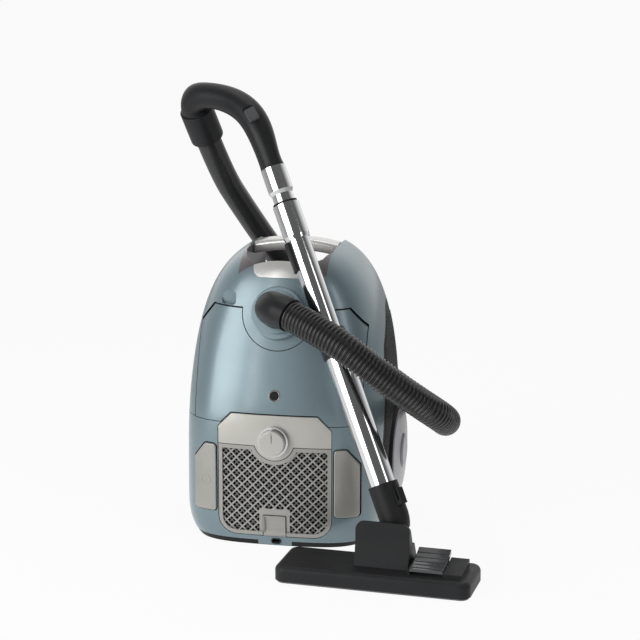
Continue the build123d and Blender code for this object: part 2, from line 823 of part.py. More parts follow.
with BuildPart() as dust_lid:
    add(outer)
    add(inner, mode=Mode.SUBTRACT)
    add(front_prism(lid_plate_outline, -SEAM_GAP / 2.0), mode=Mode.INTERSECT)
    with BuildSketch(indicator_plane.offset(-SEAL_THICK)):
        Circle(INDICATOR_RADIUS)
    extrude(amount=SEAL_THICK + INDICATOR_RADIUS, mode=Mode.SUBTRACT)
    for side in (-1.0, 1.0):
        add(lid_boss(side))
    for side in (-1.0, 1.0):
        add(
            side_cylinder(
                LID_PIN_RADIUS + AXLE_FIT,
                side * LID_PIN_X,
                side * lid_pin_end_x,
                LID_HINGE_Y,
                LID_HINGE_Z,
            ),
            mode=Mode.SUBTRACT,
        )
save(dust_lid, "dust_lid")

with BuildPart() as lid_seal:
    add(inner)
    add(canister_solid(SHELL_WALL + SEAL_THICK), mode=Mode.SUBTRACT)
    add(front_prism(lid_outline, -SEAL_INSET), mode=Mode.INTERSECT)
    add(front_prism(lid_outline, -SEAL_INSET - SEAL_WIDTH), mode=Mode.SUBTRACT)
save(lid_seal, "lid_seal")

with BuildPart() as inlet_ring:
    with BuildSketch(inlet_axis.offset(-INLET_FLANGE_DEPTH)):
        Circle(INLET_FLANGE_RADIUS)
    extrude(amount=INLET_FLANGE_DEPTH + INLET_FLANGE_HEIGHT)
    fillet(inlet_ring.edges().sort_by(Axis.Y)[0], radius=SHELL_WALL / 2.0)
    with BuildSketch(inlet_axis.offset(-INLET_DEPTH)):
        Circle(INLET_TUBE_RADIUS)
    extrude(amount=INLET_DEPTH)
    with BuildSketch(inlet_axis):
        Circle(INLET_STEP_RADIUS)
    extrude(amount=INLET_STEP_HEIGHT)
    with BuildSketch(inlet_axis.offset(-INLET_DEPTH)):
        Circle(INLET_BORE_RADIUS)
    extrude(amount=INLET_DEPTH + INLET_STEP_HEIGHT, mode=Mode.SUBTRACT)
save(inlet_ring, "inlet_ring")

knob_face_y = front_y(0.0, KNOB_Z)
cup_floor_y = knob_face_y - SLIP
knob_back_y = cup_floor_y - SLIP
ring_front_y = knob_face_y - KNOB_RING_HEIGHT
shaft_end_y = knob_face_y + KNOB_SHAFT_DEPTH

with BuildPart() as knob_ring:
    add(front_cylinder(KNOB_RING_RADIUS, 0.0, KNOB_Z, knob_face_y + SHELL_WALL / 2.0, ring_front_y))
    add(front_cylinder(KNOB_RADIUS + SLIP, 0.0, KNOB_Z, cup_floor_y, ring_front_y), mode=Mode.SUBTRACT)
    add(
        front_cylinder(KNOB_SHAFT_RADIUS + SLIP, 0.0, KNOB_Z, shaft_end_y, ring_front_y),
        mode=Mode.SUBTRACT,
    )
save(knob_ring, "knob_ring")

with BuildPart() as power_knob:
    with BuildSketch(Plane.XZ.offset(-knob_back_y)):
        with Locations((0.0, KNOB_Z)):
            Circle(KNOB_RADIUS)
    extrude(amount=KNOB_HEIGHT)
    fillet(power_knob.edges().sort_by(Axis.Y)[0], radius=KNOB_ROUND)
    with BuildSketch(Plane.XZ.offset(-knob_back_y + KNOB_HEIGHT - POINTER_DEPTH)):
        with Locations((0.0, KNOB_Z + KNOB_RADIUS / 2.0)):
            Rectangle(POINTER_WIDTH, KNOB_RADIUS - 2.0 * KNOB_ROUND)
    extrude(amount=POINTER_DEPTH, mode=Mode.SUBTRACT)
    add(front_cylinder(KNOB_SHAFT_RADIUS, 0.0, KNOB_Z, shaft_end_y, knob_back_y))
save(power_knob, "power_knob")

with BuildPart() as control_panel:
    add(outer)
    add(inner, mode=Mode.SUBTRACT)
    add(front_prism(panel_outline, -SEAM_GAP / 2.0), mode=Mode.INTERSECT)
    add(knob_ring.part, mode=Mode.SUBTRACT)
    add(
        front_cylinder(KNOB_SHAFT_RADIUS + SLIP, 0.0, KNOB_Z, shaft_end_y, ring_front_y),
        mode=Mode.SUBTRACT,
    )
    add(front_cylinder(KNOB_RADIUS + SLIP, 0.0, KNOB_Z, cup_floor_y, ring_front_y), mode=Mode.SUBTRACT)
save(control_panel, "control_panel")

board_front_y = knob_face_y + KNOB_SHAFT_DEPTH + BOARD_GAP

with BuildPart() as control_board:
    with BuildSketch(Plane.XZ.offset(-board_front_y - BOARD_THICK)):
        with Locations((0.0, KNOB_Z)):
            Rectangle(2.0 * BOARD_HALF_WIDTH, 2.0 * BOARD_HALF_HEIGHT)
    extrude(amount=BOARD_THICK)
    add(front_cylinder(POT_RADIUS, 0.0, KNOB_Z, board_front_y, shaft_end_y + SLIP))
    for side in (-1.0, 1.0):
        post_x = side * (BOARD_HALF_WIDTH - SCREW_BOSS_RADIUS)
        add(front_cylinder(SCREW_HEAD_RADIUS, post_x, KNOB_Z, board_front_y, knob_face_y))
    add(control_panel.part, mode=Mode.SUBTRACT)
    add(inner, mode=Mode.INTERSECT)
save(control_board, "control_board")


def lattice_outline():
    grille_outline()
    offset(amount=-GRILLE_RIM, kind=Kind.ARC)


def patch_outline():
    with Locations((0.0, (GRILLE_BOTTOM_Z + LATCH_PATCH_Z) / 2.0)):
        Rectangle(2.0 * (LATCH_HALF_WIDTH + GRILLE_RIM), LATCH_PATCH_Z - GRILLE_BOTTOM_Z)


grille_height = PANEL_BOTTOM_Z - GRILLE_BOTTOM_Z
lattice_centre_z = GRILLE_BOTTOM_Z + grille_height / 2.0
cell_step = GRILLE_PITCH * math.sqrt(2.0)
cells_across = math.ceil(PANEL_HALF_WIDTH / cell_step)
cells_up = math.ceil(grille_height / 2.0 / cell_step)

with BuildPart() as lattice_holes:
    with BuildSketch(Plane.XZ.offset(-front_y(0.0, PANEL_BOTTOM_Z) / 2.0)):
        places = []
        for column in range(-2 * cells_across, 2 * cells_across + 1):
            for row in range(-2 * cells_up, 2 * cells_up + 1):
                if (column + row) % 2 == 0:
                    places.append((column * cell_step / 2.0, lattice_centre_z + row * cell_step / 2.0))
        with Locations(*places):
            Rectangle(GRILLE_PITCH - GRILLE_BAR, GRILLE_PITCH - GRILLE_BAR, rotation=45.0)
        with BuildSketch(Plane.XZ, mode=Mode.INTERSECT):
            lattice_outline()
        with BuildSketch(Plane.XZ, mode=Mode.SUBTRACT):
            patch_outline()
    extrude(amount=REACH)

with BuildPart() as lattice_sink:
    add(front_prism(lattice_outline))
    add(lattice_front, mode=Mode.SUBTRACT)

with BuildPart() as exhaust_grille:
    add(outer)
    add(lattice_back, mode=Mode.SUBTRACT)
    add(front_prism(grille_outline, -SEAM_GAP / 2.0), mode=Mode.INTERSECT)
    add(lattice_sink.part, mode=Mode.SUBTRACT)
    add(lattice_holes.part, mode=Mode.SUBTRACT)
    add(front_prism(latch_outline, SEAM_GAP), mode=Mode.SUBTRACT)
save(exhaust_grille, "exhaust_grille")

scoop_y = front_y(0.0, GRILLE_BOTTOM_Z) - LATCH_SCOOP_RADIUS + LATCH_SCOOP

with BuildPart() as grille_latch:
    add(outer)
    add(latch_back, mode=Mode.SUBTRACT)
    add(front_prism(latch_outline), mode=Mode.INTERSECT)
    add(
        side_cylinder(
            LATCH_SCOOP_RADIUS,
            -LATCH_HALF_WIDTH + LATCH_EDGE,
            LATCH_HALF_WIDTH - LATCH_EDGE,
            scoop_y,
            (GRILLE_BOTTOM_Z + LATCH_TOP_Z) / 2.0,
        ),
        mode=Mode.SUBTRACT,
    )
save(grille_latch, "grille_latch")

filter_back_y = front_y(0.0, KNOB_Z) + GRILLE_SINK + GRILLE_PLATE + FILTER_THICK
filter_half = PANEL_HALF_WIDTH - GRILLE_RIM - SEAM_GAP

with BuildPart() as exhaust_filter:
    add(lattice_back)
    add(
        block(
            (-filter_half, -REACH, GRILLE_BOTTOM_Z + GRILLE_RIM),
            (filter_half, filter_back_y, PANEL_BOTTOM_Z - GRILLE_RIM),
        ),
        mode=Mode.INTERSECT,
    )
    add(front_prism(patch_outline), mode=Mode.SUBTRACT)
    add(
        front_cylinder(KNOB_PAD_RADIUS + GRILLE_RIM, 0.0, KNOB_Z, 0.0, -REACH),
        mode=Mode.SUBTRACT,
    )
save(exhaust_filter, "exhaust_filter")

spring_seat_y = front_y(SPRING_X, SPRING_Z) + PEDAL_THICK - PEDAL_PROUD + SPRING_LENGTH


def left_pedal_outline():
    pedal_outline(-1.0)


def right_pedal_outline():
    pedal_outline(1.0)


def side_pedal(draw):
    """A pedal: a raised slice of the front, with a rounded rim."""
    with BuildPart() as pedal:
        add(pedal_front)
        add(pedal_back, mode=Mode.SUBTRACT)
        add(front_prism(draw), mode=Mode.INTERSECT)
        fillet(pedal.faces().sort_by(Axis.Y)[0].edges(), radius=PEDAL_BEVEL)
    return pedal


def pedal_spring(side):
    """A plain sleeve that stands for the return spring behind a pedal."""
    with BuildPart() as spring:
        with BuildSketch(Plane.XZ.offset(-spring_seat_y)):
            with Locations((side * SPRING_X, SPRING_Z)):
                Circle(SPRING_RADIUS)
                Circle(SPRING_RADIUS - SPRING_WALL, mode=Mode.SUBTRACT)
        extrude(amount=REACH)
        add(pedal_back, mode=Mode.INTERSECT)
    return spring


rewind_pedal = side_pedal(left_pedal_outline)
save(rewind_pedal, "rewind_pedal")
power_pedal = side_pedal(right_pedal_outline)
save(power_pedal, "power_pedal")
save(pedal_spring(-1.0), "rewind_spring")
save(pedal_spring(1.0), "power_spring")


def outlet_outline():
    with Locations((OUTLET_X, OUTLET_Z)):
        RectangleRounded(2.0 * OUTLET_HALF_WIDTH, 2.0 * OUTLET_HALF_HEIGHT, OUTLET_HALF_HEIGHT - SLIP)


outlet_front_y = front_y(0.0, OUTLET_Z) - OUTLET_PROUD
outlet_body = front_prism(
    outlet_outline, start_y=outlet_front_y + OUTLET_DEPTH, end_y=outlet_front_y
)

with BuildPart() as cord_outlet:
    add(outlet_body)
    add(
        front_prism(outlet_outline, -OUTLET_WALL, outlet_front_y + OUTLET_DEPTH),
        mode=Mode.SUBTRACT,
    )
save(cord_outlet, "cord_outlet")

with BuildPart() as rear_cowl:
    add(casing.part)
    add(upper_zone, mode=Mode.INTERSECT)
    add(above_cowl, mode=Mode.SUBTRACT)
    add(front_prism(panel_outline, SEAM_GAP / 2.0), mode=Mode.SUBTRACT)
    add(front_prism(grille_outline, SEAM_GAP / 2.0), mode=Mode.SUBTRACT)
    add(front_prism(left_pedal_outline, PEDAL_GAP), mode=Mode.SUBTRACT)
    add(front_prism(right_pedal_outline, PEDAL_GAP), mode=Mode.SUBTRACT)
    add(outlet_body, mode=Mode.SUBTRACT)
with BuildPart() as chin:
    add(casing.part)
    add(chin_zone, mode=Mode.INTERSECT)
    add(outlet_body, mode=Mode.SUBTRACT)
with BuildPart() as rear_cowl_whole:
    add(rear_cowl.part)
    add(chin.part)
save(rear_cowl_whole, "rear_cowl")

# Rear wheels on their axle pins
wheel_plane = Plane(origin=(0.0, WHEEL_Y, WHEEL_Z), x_dir=(1.0, 0.0, 0.0), z_dir=(0.0, -1.0, 0.0))
wheel_axis = Axis((0.0, WHEEL_Y, WHEEL_Z), (1.0, 0.0, 0.0))
rim_radius = WHEEL_RADIUS - TYRE_THICK
tyre_end_x = WHEEL_INNER_X + TYRE_INSET + TYRE_WIDTH
hub_seat_x = WHEEL_OUTER_X - HUB_DOME
axle_inner_x = well_x - SHELL_WALL - BOSS_DEPTH + SHELL_WALL
axle_outer_x = hub_seat_x - AXLE_END_GAP


def wheel_disc(side):
    """One wheel body: rim, coned outer face, seat for the hub cap and a running bore."""
    profile = (
        (hub_seat_x, 0.0),
        (WHEEL_INNER_X, 0.0),
        (WHEEL_INNER_X, rim_radius + RIM_LIP),
        (WHEEL_INNER_X + TYRE_INSET, rim_radius + RIM_LIP),
        (WHEEL_INNER_X + TYRE_INSET, rim_radius),
        (tyre_end_x, rim_radius),
        (tyre_end_x, rim_radius + RIM_LIP),
        (tyre_end_x + RIM_EDGE, rim_radius),
        (hub_seat_x + HUB_SINK, HUB_RADIUS + HUB_SINK),
        (hub_seat_x, HUB_RADIUS),
    )
    with BuildPart() as disc:
        with BuildSketch(wheel_plane):
            with BuildLine():
                Polyline(*[(side * x, radius) for x, radius in profile], close=True)
            make_face()
        revolve(axis=wheel_axis)
        add(
            side_cylinder(
                AXLE_RADIUS + AXLE_FIT, side * WHEEL_INNER_X, side * (axle_outer_x + SLIP), WHEEL_Y, WHEEL_Z
            ),
            mode=Mode.SUBTRACT,
        )
    return disc


def wheel_tyre(side):
    start = side * (WHEEL_INNER_X + TYRE_INSET)
    with BuildPart() as tyre:
        add(side_cylinder(WHEEL_RADIUS, start, start + side * TYRE_WIDTH, WHEEL_Y, WHEEL_Z))
        fillet(tyre.edges().filter_by(GeomType.CIRCLE), radius=TYRE_ROUND)
        rim_end = start + side * TYRE_WIDTH
        add(side_cylinder(rim_radius, start, rim_end, WHEEL_Y, WHEEL_Z), mode=Mode.SUBTRACT)
    return tyre


def hub_cap(side):
    end_x = WHEEL_OUTER_X + HUB_RISE
    with BuildPart() as cap:
        add(side_cylinder(HUB_RADIUS, side * hub_seat_x, side * end_x, WHEEL_Y, WHEEL_Z))
        fillet(cap.faces().sort_by(Axis.X)[-1 if side > 0.0 else 0].edges(), radius=HUB_ROUND)
    return cap


for side, word in ((-1.0, "left"), (1.0, "right")):
    save(wheel_disc(side), f"wheel_{word}")
    save(wheel_tyre(side), f"tyre_{word}")
    save(hub_cap(side), f"hub_cap_{word}")

with BuildPart() as wheel_axles:
    for side in (-1.0, 1.0):
        add(side_cylinder(AXLE_RADIUS, side * axle_inner_x, side * axle_outer_x, WHEEL_Y, WHEEL_Z))
save(wheel_axles, "wheel_axles")

# Castor
plate_y = back_y - CASTOR_POCKET_DEPTH + CASTOR_GAP
castor_wheel_y = back_y + CASTOR_PROUD - CASTOR_WHEEL_RADIUS
castor_wheel_z = CASTOR_Z - CASTOR_TRAIL
castor_wheel_x = CASTOR_WHEEL_WIDTH / 2.0
cheek_x = castor_wheel_x + CASTOR_GAP
cheek_end_x = cheek_x + CASTOR_CHEEK
stem_end_y = plate_y - CASTOR_STEM_LENGTH


def castor_bar(radius, half_length):
    """A round bar across the castor on its axle line."""
    return side_cylinder(radius, -half_length, half_length, castor_wheel_y, castor_wheel_z)


with BuildPart() as caster_axle:
    add(castor_bar(CASTOR_AXLE_RADIUS, cheek_end_x))
save(caster_axle, "caster_axle")

with BuildPart() as caster_wheel:
    add(castor_bar(CASTOR_WHEEL_RADIUS, castor_wheel_x))
    fillet(caster_wheel.edges().filter_by(GeomType.CIRCLE), radius=CASTOR_GAP * 2.0)
    add(castor_bar(CASTOR_AXLE_RADIUS + AXLE_FIT, cheek_x), mode=Mode.SUBTRACT)
save(caster_wheel, "caster_wheel")

with BuildPart() as caster_fork:
    add(front_cylinder(CASTOR_PLATE_RADIUS, 0.0, CASTOR_Z, plate_y + CASTOR_PLATE, plate_y))
    add(front_cylinder(CASTOR_STEM_RADIUS, 0.0, CASTOR_Z, plate_y, stem_end_y))
    for side in (-1.0, 1.0):
        near = side * cheek_x
        far = side * cheek_end_x
        with BuildSketch(Plane.YZ.offset(min(near, far))):
            with BuildLine():
                Polyline(
                    (plate_y + CASTOR_PLATE / 2.0, CASTOR_Z + CASTOR_CHEEK_HALF),
                    (castor_wheel_y, castor_wheel_z + CASTOR_CHEEK_HALF),
                    (castor_wheel_y + CASTOR_CHEEK_HALF, castor_wheel_z),
                    (castor_wheel_y, castor_wheel_z - CASTOR_CHEEK_HALF),
                    (plate_y + CASTOR_PLATE / 2.0, CASTOR_Z - CASTOR_PLATE_RADIUS + CASTOR_CHEEK_HALF),
                    close=True,
                )
            make_face()
        extrude(amount=CASTOR_CHEEK)
    add(caster_axle.part, mode=Mode.SUBTRACT)
save(caster_fork, "caster_fork")

# Inside the canister
reel_left_boss_x = -(well_x - SHELL_WALL)

reel_axle_start_x = reel_left_boss_x - SHELL_WALL / 2.0
reel_axle_end_x = REEL_RIGHT_X + REEL_POST + REEL_FLANGE

with BuildPart() as reel_axle:
    add(side_cylinder(REEL_AXLE_RADIUS, reel_axle_start_x, reel_axle_end_x, REEL_Y, REEL_Z))
save(reel_axle, "reel_axle")

with BuildPart() as cord_reel:
    add(side_cylinder(REEL_WOUND_RADIUS, REEL_LEFT_X, REEL_RIGHT_X, REEL_Y, REEL_Z))
    add(side_cylinder(REEL_RADIUS, REEL_LEFT_X, REEL_LEFT_X + REEL_FLANGE, REEL_Y, REEL_Z))
    add(side_cylinder(REEL_RADIUS, REEL_RIGHT_X - REEL_FLANGE, REEL_RIGHT_X, REEL_Y, REEL_Z))
    add(
        side_cylinder(REEL_AXLE_RADIUS + AXLE_FIT, REEL_LEFT_X, REEL_RIGHT_X, REEL_Y, REEL_Z),
        mode=Mode.SUBTRACT,
    )
save(cord_reel, "cord_reel")

with BuildPart() as motor_housing:
    add(upright_cylinder(MOTOR_RADIUS, MOTOR_X, MOTOR_Y, MOTOR_LOW_Z, MOTOR_HIGH_Z))
    fillet(motor_housing.edges().filter_by(GeomType.CIRCLE), radius=MOTOR_WALL)
    add(
        upright_cylinder(
            MOTOR_RADIUS - MOTOR_WALL, MOTOR_X, MOTOR_Y, MOTOR_LOW_Z + MOTOR_WALL, MOTOR_HIGH_Z - MOTOR_WALL
        ),
        mode=Mode.SUBTRACT,
    )
    eye_low_z = (MOTOR_LOW_Z + MOTOR_HIGH_Z) / 2.0
    add(upright_cylinder(MOTOR_EYE_RADIUS, MOTOR_X, MOTOR_Y, eye_low_z, MOTOR_HIGH_Z), mode=Mode.SUBTRACT)
    add(
        upright_cylinder(ROTOR_SHAFT_RADIUS + AXLE_FIT, MOTOR_X, MOTOR_Y, MOTOR_LOW_Z, eye_low_z),
        mode=Mode.SUBTRACT,
    )
save(motor_housing, "motor_housing")

with BuildPart() as motor_rotor:
    add(upright_cylinder(ROTOR_RADIUS, MOTOR_X, MOTOR_Y, MOTOR_LOW_Z + ROTOR_GAP, MOTOR_HIGH_Z - ROTOR_GAP))
    add(upright_cylinder(ROTOR_SHAFT_RADIUS, MOTOR_X, MOTOR_Y, MOTOR_LOW_Z, MOTOR_HIGH_Z))
save(motor_rotor, "motor_rotor")

with BuildPart() as motor_mounts:
    with BuildSketch(Plane.XY.offset(MOTOR_RING_HIGH_Z)):
        with Locations((MOTOR_X, MOTOR_Y)):
            Circle(MOTOR_RING_OUTER)
            Circle(MOTOR_RING_INNER, mode=Mode.SUBTRACT)
    extrude(amount=MOTOR_LOW_Z - MOTOR_RING_HIGH_Z)
save(motor_mounts, "motor_mounts")

bulkhead_top_z = BULKHEAD_LOW_Z + BULKHEAD_THICK

with BuildPart() as motor_filter:
    add(
        block(
            (MOTOR_X - FILTER_HALF, MOTOR_Y - FILTER_HALF, MOTOR_HIGH_Z + FILTER_LIFT),
            (MOTOR_X + FILTER_HALF, MOTOR_Y + FILTER_HALF, BULKHEAD_LOW_Z),
        )
    )
save(motor_filter, "motor_filter")

with BuildPart() as casing_screws:
    for x, z in SCREW_PLACES:
        for side in (-1.0, 1.0):
            head_y = back_y - SCREW_SINK
            add(front_cylinder(SCREW_HEAD_RADIUS, side * x, z, head_y, head_y - SCREW_HEAD))
            add(front_cylinder(SCREW_RADIUS, side * x, z, head_y - SCREW_HEAD, head_y - SCREW_LENGTH))
save(casing_screws, "casing_screws")

with BuildPart() as base_shell:
    add(casing.part)
    add(upper_zone, mode=Mode.SUBTRACT)
    add(chin_zone, mode=Mode.SUBTRACT)
    add(outlet_body, mode=Mode.SUBTRACT)
with BuildPart() as base_bulkhead:
    add(block((-REACH, BULKHEAD_FRONT_Y, BULKHEAD_LOW_Z), (REACH, REACH, bulkhead_top_z)))
    add(inner, mode=Mode.INTERSECT)
    add(upper_zone, mode=Mode.SUBTRACT)
    add(
        block(
            (-BULKHEAD_HALF, BULKHEAD_FRONT_Y, BULKHEAD_LOW_Z),
            (BULKHEAD_HALF, 0.0, bulkhead_top_z),
        )
    )
    add(
        block(
            (MOTOR_X - MOTOR_EYE_RADIUS, MOTOR_Y - MOTOR_EYE_RADIUS, BULKHEAD_LOW_Z),
            (MOTOR_X + MOTOR_EYE_RADIUS, MOTOR_Y + MOTOR_EYE_RADIUS, bulkhead_top_z),
        ),
        mode=Mode.SUBTRACT,
    )
with BuildPart() as base_whole:
    add(base_shell.part)
    add(base_bulkhead.part)
    for side in (-1.0, 1.0):
        ear_low_x = min(side * LID_PIN_X, side * (LID_PIN_X + LID_EAR_LENGTH))
        add(
            block(
                (ear_low_x, LID_HINGE_Y - LID_EAR_FRONT, BULKHEAD_LOW_Z),
                (ear_low_x + LID_EAR_LENGTH, BULKHEAD_FRONT_Y, BULKHEAD_LOW_Z + LID_EAR_HEIGHT),
            )
        )
    with BuildSketch(Plane.XY.offset(SHELL_WALL / 2.0)):
        with Locations((MOTOR_X, MOTOR_Y)):
            Circle(MOTOR_RING_OUTER)
            Circle(MOTOR_RING_INNER, mode=Mode.SUBTRACT)
    extrude(amount=MOTOR_RING_HIGH_Z - SHELL_WALL / 2.0)
    post_x = REEL_RIGHT_X + REEL_FLANGE
    add(
        block(
            (post_x, REEL_Y - REEL_POST_HALF, SHELL_WALL / 2.0),
            (post_x + REEL_POST, REEL_Y + REEL_POST_HALF, REEL_Z + REEL_POST_HALF),
        )
    )
    for side in (-1.0, 1.0):
        boss_inner_x = side * (axle_inner_x - AXLE_END_GAP)
        boss_outer_x = side * (well_x - SHELL_WALL / 2.0)
        add(side_cylinder(BOSS_RADIUS, boss_inner_x, boss_outer_x, WHEEL_Y, WHEEL_Z))
        seat_x = side * SPRING_X
        add(
            block(
                (seat_x - SEAT_THICK, spring_seat_y, SHELL_WALL / 2.0),
                (seat_x + SEAT_THICK, spring_seat_y + SEAT_THICK, SPRING_Z + SEAT_THICK),
            )
        )
    with BuildSketch(castor_plane.offset(-CASTOR_POCKET_DEPTH - SHELL_WALL / 2.0)):
        Circle(CASTOR_STEM_RADIUS + CASTOR_BOSS_WALL)
    extrude(amount=-CASTOR_STEM_LENGTH - CASTOR_GAP)
    for x, z in SCREW_PLACES:
        for side in (-1.0, 1.0):
            boss_y = back_y - SHELL_WALL / 2.0
            add(front_cylinder(SCREW_BOSS_RADIUS, side * x, z, boss_y, boss_y - SCREW_BOSS_LENGTH))
    with BuildSketch(castor_plane):
        Circle(CASTOR_STEM_RADIUS + AXLE_FIT)
    extrude(amount=-CASTOR_POCKET_DEPTH - CASTOR_STEM_LENGTH - CASTOR_GAP, mode=Mode.SUBTRACT)
    add(wheel_axles.part, mode=Mode.SUBTRACT)
    add(reel_axle.part, mode=Mode.SUBTRACT)
    add(lid_hinge_pins.part, mode=Mode.SUBTRACT)
    add(casing_screws.part, mode=Mode.SUBTRACT)
    for x, z in SCREW_PLACES:
        for side in (-1.0, 1.0):
            add(
                front_cylinder(SCREW_HEAD_RADIUS, side * x, z, back_y + SHELL_WALL, back_y - SCREW_SINK),
                mode=Mode.SUBTRACT,
            )
save(base_whole, "base_shell")

with BuildPart() as dust_bag:
    with BuildSketch(Plane.XY.offset(bulkhead_top_z)):
        with Locations((0.0, (BAG_FRONT_Y + BAG_BACK_Y) / 2.0)):
            RectangleRounded(2.0 * BAG_HALF_WIDTH, BAG_BACK_Y - BAG_FRONT_Y, BAG_ROUND)
    extrude(amount=BAG_HIGH_Z - bulkhead_top_z)
    fillet(dust_bag.faces().sort_by(Axis.Z)[-1].edges(), radius=BAG_ROUND / 2.0)
    with BuildSketch(Plane.XY.offset(bulkhead_top_z + BAG_WALL)):
        with Locations((0.0, (BAG_FRONT_Y + BAG_BACK_Y) / 2.0)):
            RectangleRounded(
                2.0 * (BAG_HALF_WIDTH - BAG_WALL),
                BAG_BACK_Y - BAG_FRONT_Y - 2.0 * BAG_WALL,
                BAG_ROUND - BAG_WALL,
            )
    extrude(amount=BAG_HIGH_Z - BAG_ROUND / 2.0 - bulkhead_top_z - BAG_WALL, mode=Mode.SUBTRACT)
    add(cut_inlet(BAG_PLATE_RADIUS + SLIP, -INLET_DEPTH - BAG_PLATE, REACH), mode=Mode.SUBTRACT)
save(dust_bag, "dust_bag")

with BuildPart() as bag_holder:
    add(cut_inlet(BAG_PLATE_RADIUS, -INLET_DEPTH - BAG_PLATE, -INLET_DEPTH))
    add(cut_inlet(INLET_BORE_RADIUS, -INLET_DEPTH - BAG_PLATE, -INLET_DEPTH), mode=Mode.SUBTRACT)
save(bag_holder, "bag_holder")

# Wand
lean = Vector(*WAND_LEAN).normalized()
wand_foot = Vector(*WAND_FOOT)
wand_side = Vector(lean.Y, -lean.X, 0.0).normalized()


def wand_point(along):
    return wand_foot + lean * along


def wand_plane(along):
    """Plane square to the wand's tubes, a distance along them from the foot."""
    return Plane(origin=wand_point(along), x_dir=wand_side, z_dir=lean)


def wand_bar(radius, start, end):
    with BuildPart() as bar:
        with BuildSketch(wand_plane(start)):
            Circle(radius)
        extrude(amount=end - start)
    return bar.part


def wand_cone(start_radius, end_radius, start, end):
    with BuildPart() as cone:
        with BuildSketch(wand_plane(start)):
            Circle(start_radius)
        with BuildSketch(wand_plane(end)):
            Circle(end_radius)
        loft(ruled=True)
    return cone.part


lower_bore = LOWER_TUBE_RADIUS - TUBE_WALL
upper_radius = lower_bore - TUBE_FIT

with BuildPart() as lower_tube:
    add(wand_bar(LOWER_TUBE_RADIUS, LOWER_TUBE_START, LOWER_TUBE_END))
    add(wand_bar(lower_bore, LOWER_TUBE_START, LOWER_TUBE_END), mode=Mode.SUBTRACT)
save(lower_tube, "lower_tube")

with BuildPart() as upper_tube:
    add(wand_bar(upper_radius, UPPER_TUBE_START, UPPER_TUBE_END))
    add(wand_bar(upper_radius - TUBE_WALL, UPPER_TUBE_START, UPPER_TUBE_END), mode=Mode.SUBTRACT)
save(upper_tube, "upper_tube")

button_front = -lean.cross(wand_side)
button_centre = (LOCK_START + LOCK_END) / 2.0
button_foot = wand_point(button_centre) + button_front * (LOCK_RADIUS - LOCK_BUTTON_SINK)
button_plane = Plane(origin=button_foot, x_dir=wand_side, z_dir=button_front)

with BuildPart() as lock_button:
    with BuildSketch(button_plane):
        SlotOverall(LOCK_BUTTON_LENGTH, LOCK_BUTTON_WIDTH, rotation=90.0)
    extrude(amount=LOCK_BUTTON_PROUD)
    fillet(lock_button.faces().sort_by(Axis(button_foot, button_front))[-1].edges(), radius=TUBE_WALL / 2.0)
save(lock_button, "lock_button")

with BuildPart() as tube_lock:
    add(wand_bar(LOCK_RADIUS, LOCK_START, LOCK_END))
    fillet(tube_lock.edges().filter_by(GeomType.CIRCLE), radius=LOCK_ROUND)
    add(wand_bar(LOWER_TUBE_RADIUS, LOCK_START, LOWER_TUBE_END), mode=Mode.SUBTRACT)
    add(wand_bar(upper_radius + TUBE_FIT, LOWER_TUBE_END, LOCK_END), mode=Mode.SUBTRACT)
    with BuildSketch(button_plane.offset(-LOCK_BUTTON_TRAVEL - TUBE_FIT)):
        SlotOverall(LOCK_BUTTON_LENGTH + 2.0 * TUBE_FIT, LOCK_BUTTON_WIDTH + 2.0 * TUBE_FIT, rotation=90.0)
    extrude(amount=LOCK_RADIUS, mode=Mode.SUBTRACT)
save(tube_lock, "tube_lock")

hose_end = Vector(*HOSE_ROUTE[-1])
hose_end_way = (hose_end - Vector(*HOSE_ROUTE[-2])).normalized()
grip_start = wand_point(FERRULE_END)
grip_end = hose_end + hose_end_way * CUFF_LENGTH
grip_normal = lean.cross(hose_end_way).normalized()

with BuildLine() as grip_line:
    Spline(grip_start, Vector(*GRIP_APEX), grip_end, tangents=(lean, -hose_end_way))
grip_path = grip_line.edges()[0]


def grip_plane(share):
    """Plane square to the bent grip at a share of its length."""
    way = grip_path.tangent_at(share)
    sideways = (grip_normal - way * grip_normal.dot(way)).normalized()
    return Plane(origin=grip_path.position_at(share), x_dir=sideways, z_dir=way)


slider_up = grip_plane(SLIDER_SHARE).z_dir.cross(grip_normal).normalized()
if slider_up.Y > 0.0:
    slider_up = slider_up * -1.0
slider_radius = max(GRIP_RADII[1:3])
slider_foot = grip_path.position_at(SLIDER_SHARE) + slider_up * (slider_radius - SLIDER_SINK)
slider_plane = Plane(origin=slider_foot, x_dir=grip_plane(SLIDER_SHARE).z_dir, z_dir=slider_up)

with BuildPart() as suction_slider:
    with BuildSketch(slider_plane):
        RectangleRounded(SLIDER_LENGTH - SLIDER_TRAVEL, SLIDER_WIDTH, SLIDER_CORNER)
    extrude(amount=SLIDER_PROUD + SLIDER_SINK)
    fillet(suction_slider.faces().sort_by(Axis(slider_foot, slider_up))[-1].edges(), radius=TUBE_WALL)
save(suction_slider, "suction_slider")

with BuildPart() as grip:
    for share, radius in zip(GRIP_SHARES, GRIP_RADII):
        with BuildSketch(grip_plane(share)):
            Circle(radius)
    loft()

with BuildPart() as wand_handle:
    add(grip.part)
    with BuildSketch(slider_plane.offset(-SLIP)):
        with Locations((SLIDER_TRAVEL / 2.0, 0.0)):
            RectangleRounded(SLIDER_LENGTH + 2.0 * SLIP, SLIDER_WIDTH + 2.0 * SLIP, SLIDER_CORNER)
    extrude(amount=slider_radius, mode=Mode.SUBTRACT)
save(wand_handle, "wand_handle")

